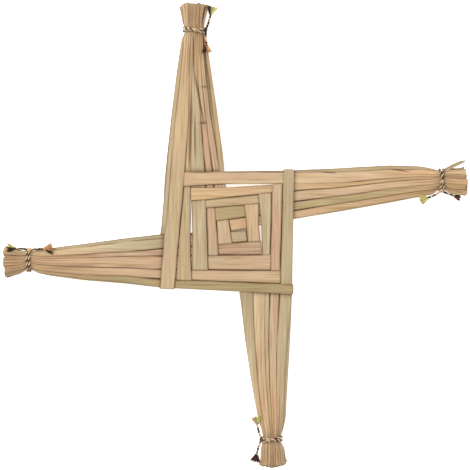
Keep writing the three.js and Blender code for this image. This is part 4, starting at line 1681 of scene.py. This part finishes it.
@dataclass
class YarnTie:
    """Two turns of two-ply yarn round an arm's waist, knotted at the side, with two frayed ends.

    The fibres' lengths, lifts, stray and spread are shares of their reach. The rest is in millimetres.
    """

    arm: Arm
    seed: int
    rest: np.ndarray
    ply_radius: float = 0.45
    ply_offset: float = 0.32
    unevenness: float = 0.06
    twist: float = 3.9
    sides: int = 8
    spacing: float = 1.1
    ride_over: float = 0.75
    bite: float = 0.12
    waver: float = 0.12
    knot_width: float = 0.72
    knot_depth: float = 0.4
    fibres: int = 72
    fibre_radius: float = 0.23
    fibre_points: int = 9
    fibre_sides: int = 5
    fibre_lengths: tuple[float, float] = (0.82, 1.08)
    fibre_lifts: tuple[float, float] = (-0.2, 0.25)
    stray: float = 0.06
    curliness: float = 0.18
    spread: float = 0.52

    def round_waist(self, angle: np.ndarray, along: np.ndarray, distance: np.ndarray | float) -> np.ndarray:
        """Gives points round the waist's ellipse, at a distance outside it.

        Args:
            angle: angles from the stacked side, over the front.
            along: distances along the arm.
            distance: how far outside the bundle.

        Returns:
            Points in the arm's frame.
        """
        waist = self.arm.outline.waist
        across = waist.offset + (waist.half_width + distance) * np.cos(angle)
        return np.stack([along + 0 * angle, across, (WAIST_HALF_HEIGHT + distance) * np.sin(angle)], -1)

    @property
    def knot_middle(self) -> np.ndarray:
        """The knot's middle in the arm's frame."""
        return self.round_waist(np.array(KNOT_ANGLE), np.array(self.arm.tie), YARN_CLEARANCE + KNOT_RADIUS)

    @staticmethod
    def resample(path: np.ndarray) -> tuple[np.ndarray, np.ndarray]:
        """Spreads a path's points evenly, about a yarn step apart.

        Args:
            path: points.

        Returns:
            The new points and their distances from the start.
        """
        length = travelled(path)
        s = np.linspace(0, length[-1], max(4, int(length[-1] / YARN_STEP)))
        return np.stack([np.interp(s, length, path[:, i]) for i in range(3)], 1), s

    def strand(
        self, path: np.ndarray, radius: np.ndarray, dye: np.ndarray, reference: np.ndarray, sides: int
    ) -> Surface:
        """Makes one closed strand: a circle carried along a path.

        Args:
            path: its middle line in the arm's frame.
            radius: its radius along the line.
            dye: its dye along the line.
            reference: a direction that its corners start from, for each point or one for all.
            sides: corners of its section.

        Returns:
            The surface in the row frame.
        """
        normal, side = square_axes(path, reference)
        angle = np.linspace(0, 2 * np.pi, sides, endpoint=False)[None, :, None]
        ring = normal[:, None] * np.cos(angle) + side[:, None] * np.sin(angle)
        rings = path[:, None] + ring * radius[:, None, None]
        quads, caps = tube_faces(len(path), sides)
        s = travelled(path)
        girth = np.linspace(0, 1, sides)[None, :] * 2 * np.pi * self.ply_radius
        uv = np.stack([s[:, None] + 0 * girth, girth + 0 * s[:, None]], 2).reshape(-1, 2) * MM
        paint = {"dye": np.repeat(dye, sides)}
        points = self.arm.to_row(rings.reshape(-1, 3), self.rest)
        return Surface(points, quads, caps, uv, paint).facing_out()

    def plies(self, path: np.ndarray, reference: np.ndarray, dyes: np.ndarray) -> list[Surface]:
        """Winds two plies round a path, half a turn apart: each is offset by a circle of the twist's pitch.

        Args:
            path: the yarn's middle line.
            reference: a direction for each point, or one for all.
            dyes: the dye along each ply, two rows.

        Returns:
            The two plies.
        """
        line, s = self.resample(path)
        if reference.ndim == 2:
            place = np.linspace(0, 1, len(reference))
            t = np.linspace(0, 1, len(line))
            reference = np.stack([np.interp(t, place, reference[:, i]) for i in range(3)], 1)
        normal, side = square_axes(line, np.broadcast_to(reference, line.shape))
        result = []
        for ply in range(2):
            angle = (2 * np.pi * s / self.twist + np.pi * ply)[:, None]
            path_of_ply = line + self.ply_offset * (normal * np.cos(angle) + side * np.sin(angle))
            radius = self.ply_radius * (1 + self.unevenness * np.sin(s * 3.1 + ply))
            steps = np.linspace(0, len(dyes[ply]) - 0.01, len(s)).astype(int)
            result.append(self.strand(path_of_ply, radius, dyes[ply][steps], normal, self.sides))
        return result

    def turns(self, rng: np.random.Generator) -> list[Surface]:
        """Winds the yarn round the waist.

        Where the turns cross over the front, the first runs outwards and the second comes back over it.

        Args:
            rng: the seeded source.

        Returns:
            Its plies.
        """
        turn = np.linspace(0, YARN_TURNS, 200)
        angle = KNOT_ANGLE + 2 * np.pi * turn
        front = (2 * np.pi - KNOT_ANGLE) / (2 * np.pi)
        along = YARN_PITCH * (turn - YARN_TURNS / 2)
        lift = 0 * turn
        if self.arm.crossing:
            out = smooth((turn - front) / (1 - front))
            back = smooth((turn - 1 - front) / (1 - front))
            along = self.spacing * (2 * out - 2 * back - 1)
            past = angle - 4 * np.pi - math.radians(self.arm.crossing)
            lift = self.ride_over * np.exp(-((past / 0.5) ** 2))
        along = self.arm.tie + along + self.arm.tilt * np.cos(angle) + self.waver * drift(rng, turn * 10, 3)
        path = self.round_waist(angle, along, YARN_CLEARANCE + YARN_RADIUS - self.bite + lift)
        outwards = np.stack([0 * angle, np.cos(angle), np.sin(angle)], 1)
        return self.plies(path, outwards, np.array(self.arm.turn_dyes).reshape(-1, 2).T)

    def knot(self, rng: np.random.Generator) -> list[Surface]:
        """Ties the yarn: a trefoil flattened against the bundle's side.

        A trefoil is sin t + 2 sin 2t across its face, cos t - 2 cos 2t along it, and -sin 3t through it.

        Args:
            rng: the seeded source.

        Returns:
            Its plies.
        """
        t = np.linspace(0, 2 * np.pi, 120)
        out = np.array([0.0, math.cos(KNOT_ANGLE), math.sin(KNOT_ANGLE)])
        around = np.array([0.0, -out[2], out[1]])
        axis = np.array([1.0, 0.0, 0.0])
        size = (KNOT_HALF_LENGTH - YARN_RADIUS) / 3
        long = (np.sin(t) + 2 * np.sin(2 * t)) * size
        wide = (np.cos(t) - 2 * np.cos(2 * t)) * size * self.knot_width
        deep = -np.sin(3 * t) * self.knot_depth
        path = self.knot_middle + np.outer(long, axis) + np.outer(wide, around) + np.outer(deep, out)
        dyes = np.clip(self.arm.knot_dye + rng.normal(0, 0.03, (2, 8)), 0, 1)
        return self.plies(path, out, dyes)

    def end(self, end: YarnEnd, rng: np.random.Generator) -> list[Surface]:
        """Runs a loose end from the knot and frays it: fibres fan out as they go.

        Args:
            end: the end's reach and dyes.
            rng: the seeded source.

        Returns:
            Its plies and fibres.
        """
        start = self.knot_middle
        t, sideways = np.array(END_RUN), np.array(END_BEND)
        knots = start + np.stack([end.along * t, -end.inwards * sideways, end.up * sideways], 1)
        q = np.linspace(0, 1, 60)
        path = monotone(t, knots, q)
        stem = path[q <= 1 - TUFT_SHARE]
        up = np.array([0.0, 0.0, 1.0])
        dyes = np.array((self.arm.knot_dye, *end.dyes))
        result = self.plies(stem, up, np.stack([dyes, np.roll(dyes, -1)])[:, :-1])
        direction = path[-1] - path[-20]
        direction /= np.linalg.norm(direction)
        side = np.cross(up, direction)
        root = stem[-1]
        reach = np.linalg.norm(path[-1] - root) + self.ply_radius
        shades = np.array(end.tuft_dyes)
        v = np.linspace(0, 1, self.fibre_points)
        for number in range(self.fibres):
            length = reach * rng.uniform(*self.fibre_lengths)
            place = (number + 0.5) / self.fibres
            fan = self.spread * (2 * place - 1) + rng.normal(0, self.stray)
            lift = rng.uniform(*self.fibre_lifts)
            curl = rng.normal(0, self.curliness)
            fibre = (
                root
                + np.outer(v * length, direction)
                + np.outer(fan * v**0.9 * reach + curl * np.sin(2.2 * v), side)
                + np.outer(lift * v**1.2 * reach + 0.12 * np.sin(3 * v + number), up)
            )
            radius = self.fibre_radius * (1 - 0.4 * v)
            dye = shades[min(len(shades) - 1, int(place * len(shades)))] + rng.normal(0, 0.012)
            shade = np.linspace(end.dyes[-1], dye, 4)[np.minimum(3, (v * self.fibre_points).astype(int))]
            result.append(self.strand(fibre, radius, np.clip(shade, 0, 1), up, self.fibre_sides))
        return result

    def build(self, material: bpy.types.Material) -> bpy.types.Object:
        """Makes the tie and gives it to the frame.

        Args:
            material: the yarn's finish.

        Returns:
            The piece.
        """
        rng = np.random.default_rng(self.seed)
        parts = [*self.turns(rng), *self.knot(rng)]
        for end in self.arm.ends:
            parts += self.end(end, rng)
        name = f"{self.arm.name}_tie"
        piece = Surface.joined(parts).to_object("wool_" + name, material)
        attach(piece, BODY)
        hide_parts(name)
        return piece


@dataclass
class RushCross:
    """The whole cross: its layout, its rushes and its ties."""

    arms: list[Arm] = field(default_factory=cross_arms)

    def middle(self) -> np.ndarray:
        """Works out the weave's middle in the row frame, from the arms' lengths and one rush's CAD box.

        Returns:
            The point in millimetres.
        """
        lengths = {arm.name: arm.length for arm in self.arms}
        low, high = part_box("left_rush_3")
        return np.array(
            [
                (lengths["left"] - lengths["right"]) / 2,
                (lengths["lower"] - lengths["upper"]) / 2,
                (low.z + high.z) / 2 / MM,
            ]
        )

    def build(self) -> list[bpy.types.Object]:
        """Builds every piece, arm by arm.

        Returns:
            The pieces.
        """
        finishes = {tone: tone.value[0].make() for tone in Tone}
        wool = YarnFinish().make()
        rest = self.middle()
        pieces = []
        for index, arm in enumerate(self.arms):
            for order, rush in enumerate(arm.folded):
                name = f"{arm.name}_rush_{order + 1}"
                shape = RushShape(self.arms, index, rush, name, 10 * index + order + 1, rest)
                extra = (Splinter(arm, rest),) if name == "right_rush_5" else ()
                pieces.append(RushPiece(shape, extra).build(finishes))
                LOG.info("%s: %d faces", name, len(pieces[-1].data.polygons))
            pieces.append(YarnTie(arm, 60 + index, rest).build(wool))
            LOG.info("%s_tie: %d faces", arm.name, len(pieces[-1].data.polygons))
        upper = index_of(self.arms, "upper")
        core = RushShape(self.arms, upper, self.arms[upper].rushes[0], "core_rush", 50, rest)
        pieces.append(RushPiece(core).build(finishes))
        LOG.info("core_rush: %d faces", len(pieces[-1].data.polygons))
        return pieces


@dataclass
class Studio:
    """A plain pale floor, soft light from above, and a camera that looks straight down."""

    frame_width: float = 302.6
    lens: float = 200.0
    sensor: float = 36.0
    floor_size: float = 6.0
    aim: tuple[float, float] = (-0.26, 0.13)
    focus_height: float = 7.0
    room_light: float = 0.825
    lamp_size: float = 1.1
    lamp_power: float = 21.0
    lamp_place: tuple[float, float, float] = (-0.75, 0.85, 1.35)

    def floor(self) -> None:
        """Lays the floor, a plain square with a faint mottle."""
        h = self.floor_size / 2
        mesh = bpy.data.meshes.new("floor")
        mesh.from_pydata([(-h, -h, 0), (h, -h, 0), (h, h, 0), (-h, h, 0)], [], [(0, 1, 2, 3)])
        bench = NodeBench("white_paper")
        place = bench.add("TexCoord", out="Object")
        mottle = bench.add("TexNoise", Vector=place, Scale=9.0, Detail=2.0)
        stops = [(0.3, linear("#f7f7f6")), (0.7, linear("#fbfbfa"))]
        colour = bench.add("ValToRGB", {"stops": stops}, in0=mottle)
        shader = bench.add(
            "BsdfPrincipled",
            Base_Color=colour,
            Roughness=0.9,
            Specular_IOR_Level=0.1,
            Emission_Color=(1.0, 1.0, 1.0, 1.0),
            Emission_Strength=0.6,
        )
        bench.add("OutputMaterial", in0=shader)
        mesh.materials.append(bench.material)
        floor = linked("floor", mesh)

    def light(self) -> None:
        """Hangs a large soft lamp to the upper left, and lights the rest evenly."""
        world = bpy.data.worlds.new("soft_room")
        world.use_nodes = True
        back = world.node_tree.nodes["Background"]
        back.inputs[0].default_value = (1.0, 1.0, 1.0, 1.0)
        back.inputs[1].default_value = self.room_light
        bpy.context.scene.world = world
        lamp = bpy.data.lights.new("soft_lamp", "AREA")
        lamp.shape = "SQUARE"
        lamp.size = self.lamp_size
        lamp.energy = self.lamp_power
        lamp.color = (1.0, 0.99, 0.97)
        holder = linked("soft_lamp", lamp)
        holder.location = self.lamp_place
        holder.rotation_euler = (-holder.location).to_track_quat("-Z", "Y").to_euler()

    def camera(self) -> None:
        """Sets the camera so that the frame is as wide as the photograph's, in millimetres."""
        data = bpy.data.cameras.new("camera")
        data.lens = self.lens
        data.sensor_width = self.sensor
        data.dof.use_dof = False
        camera = linked("camera", data)
        distance = self.frame_width * MM * self.lens / self.sensor
        camera.location = (self.aim[0] * MM, self.aim[1] * MM, distance + self.focus_height * MM)
        bpy.context.scene.camera = camera

    def build(self) -> None:
        """Sets the whole studio up."""
        self.floor()
        self.light()
        self.camera()
        bpy.context.scene.view_settings.view_transform = "Standard"


def main() -> None:
    """Builds the cross and the studio."""
    logging.basicConfig(level=logging.INFO, format="%(message)s")
    RushCross().build()
    Studio().build()


if __name__ == "__main__":
    main()
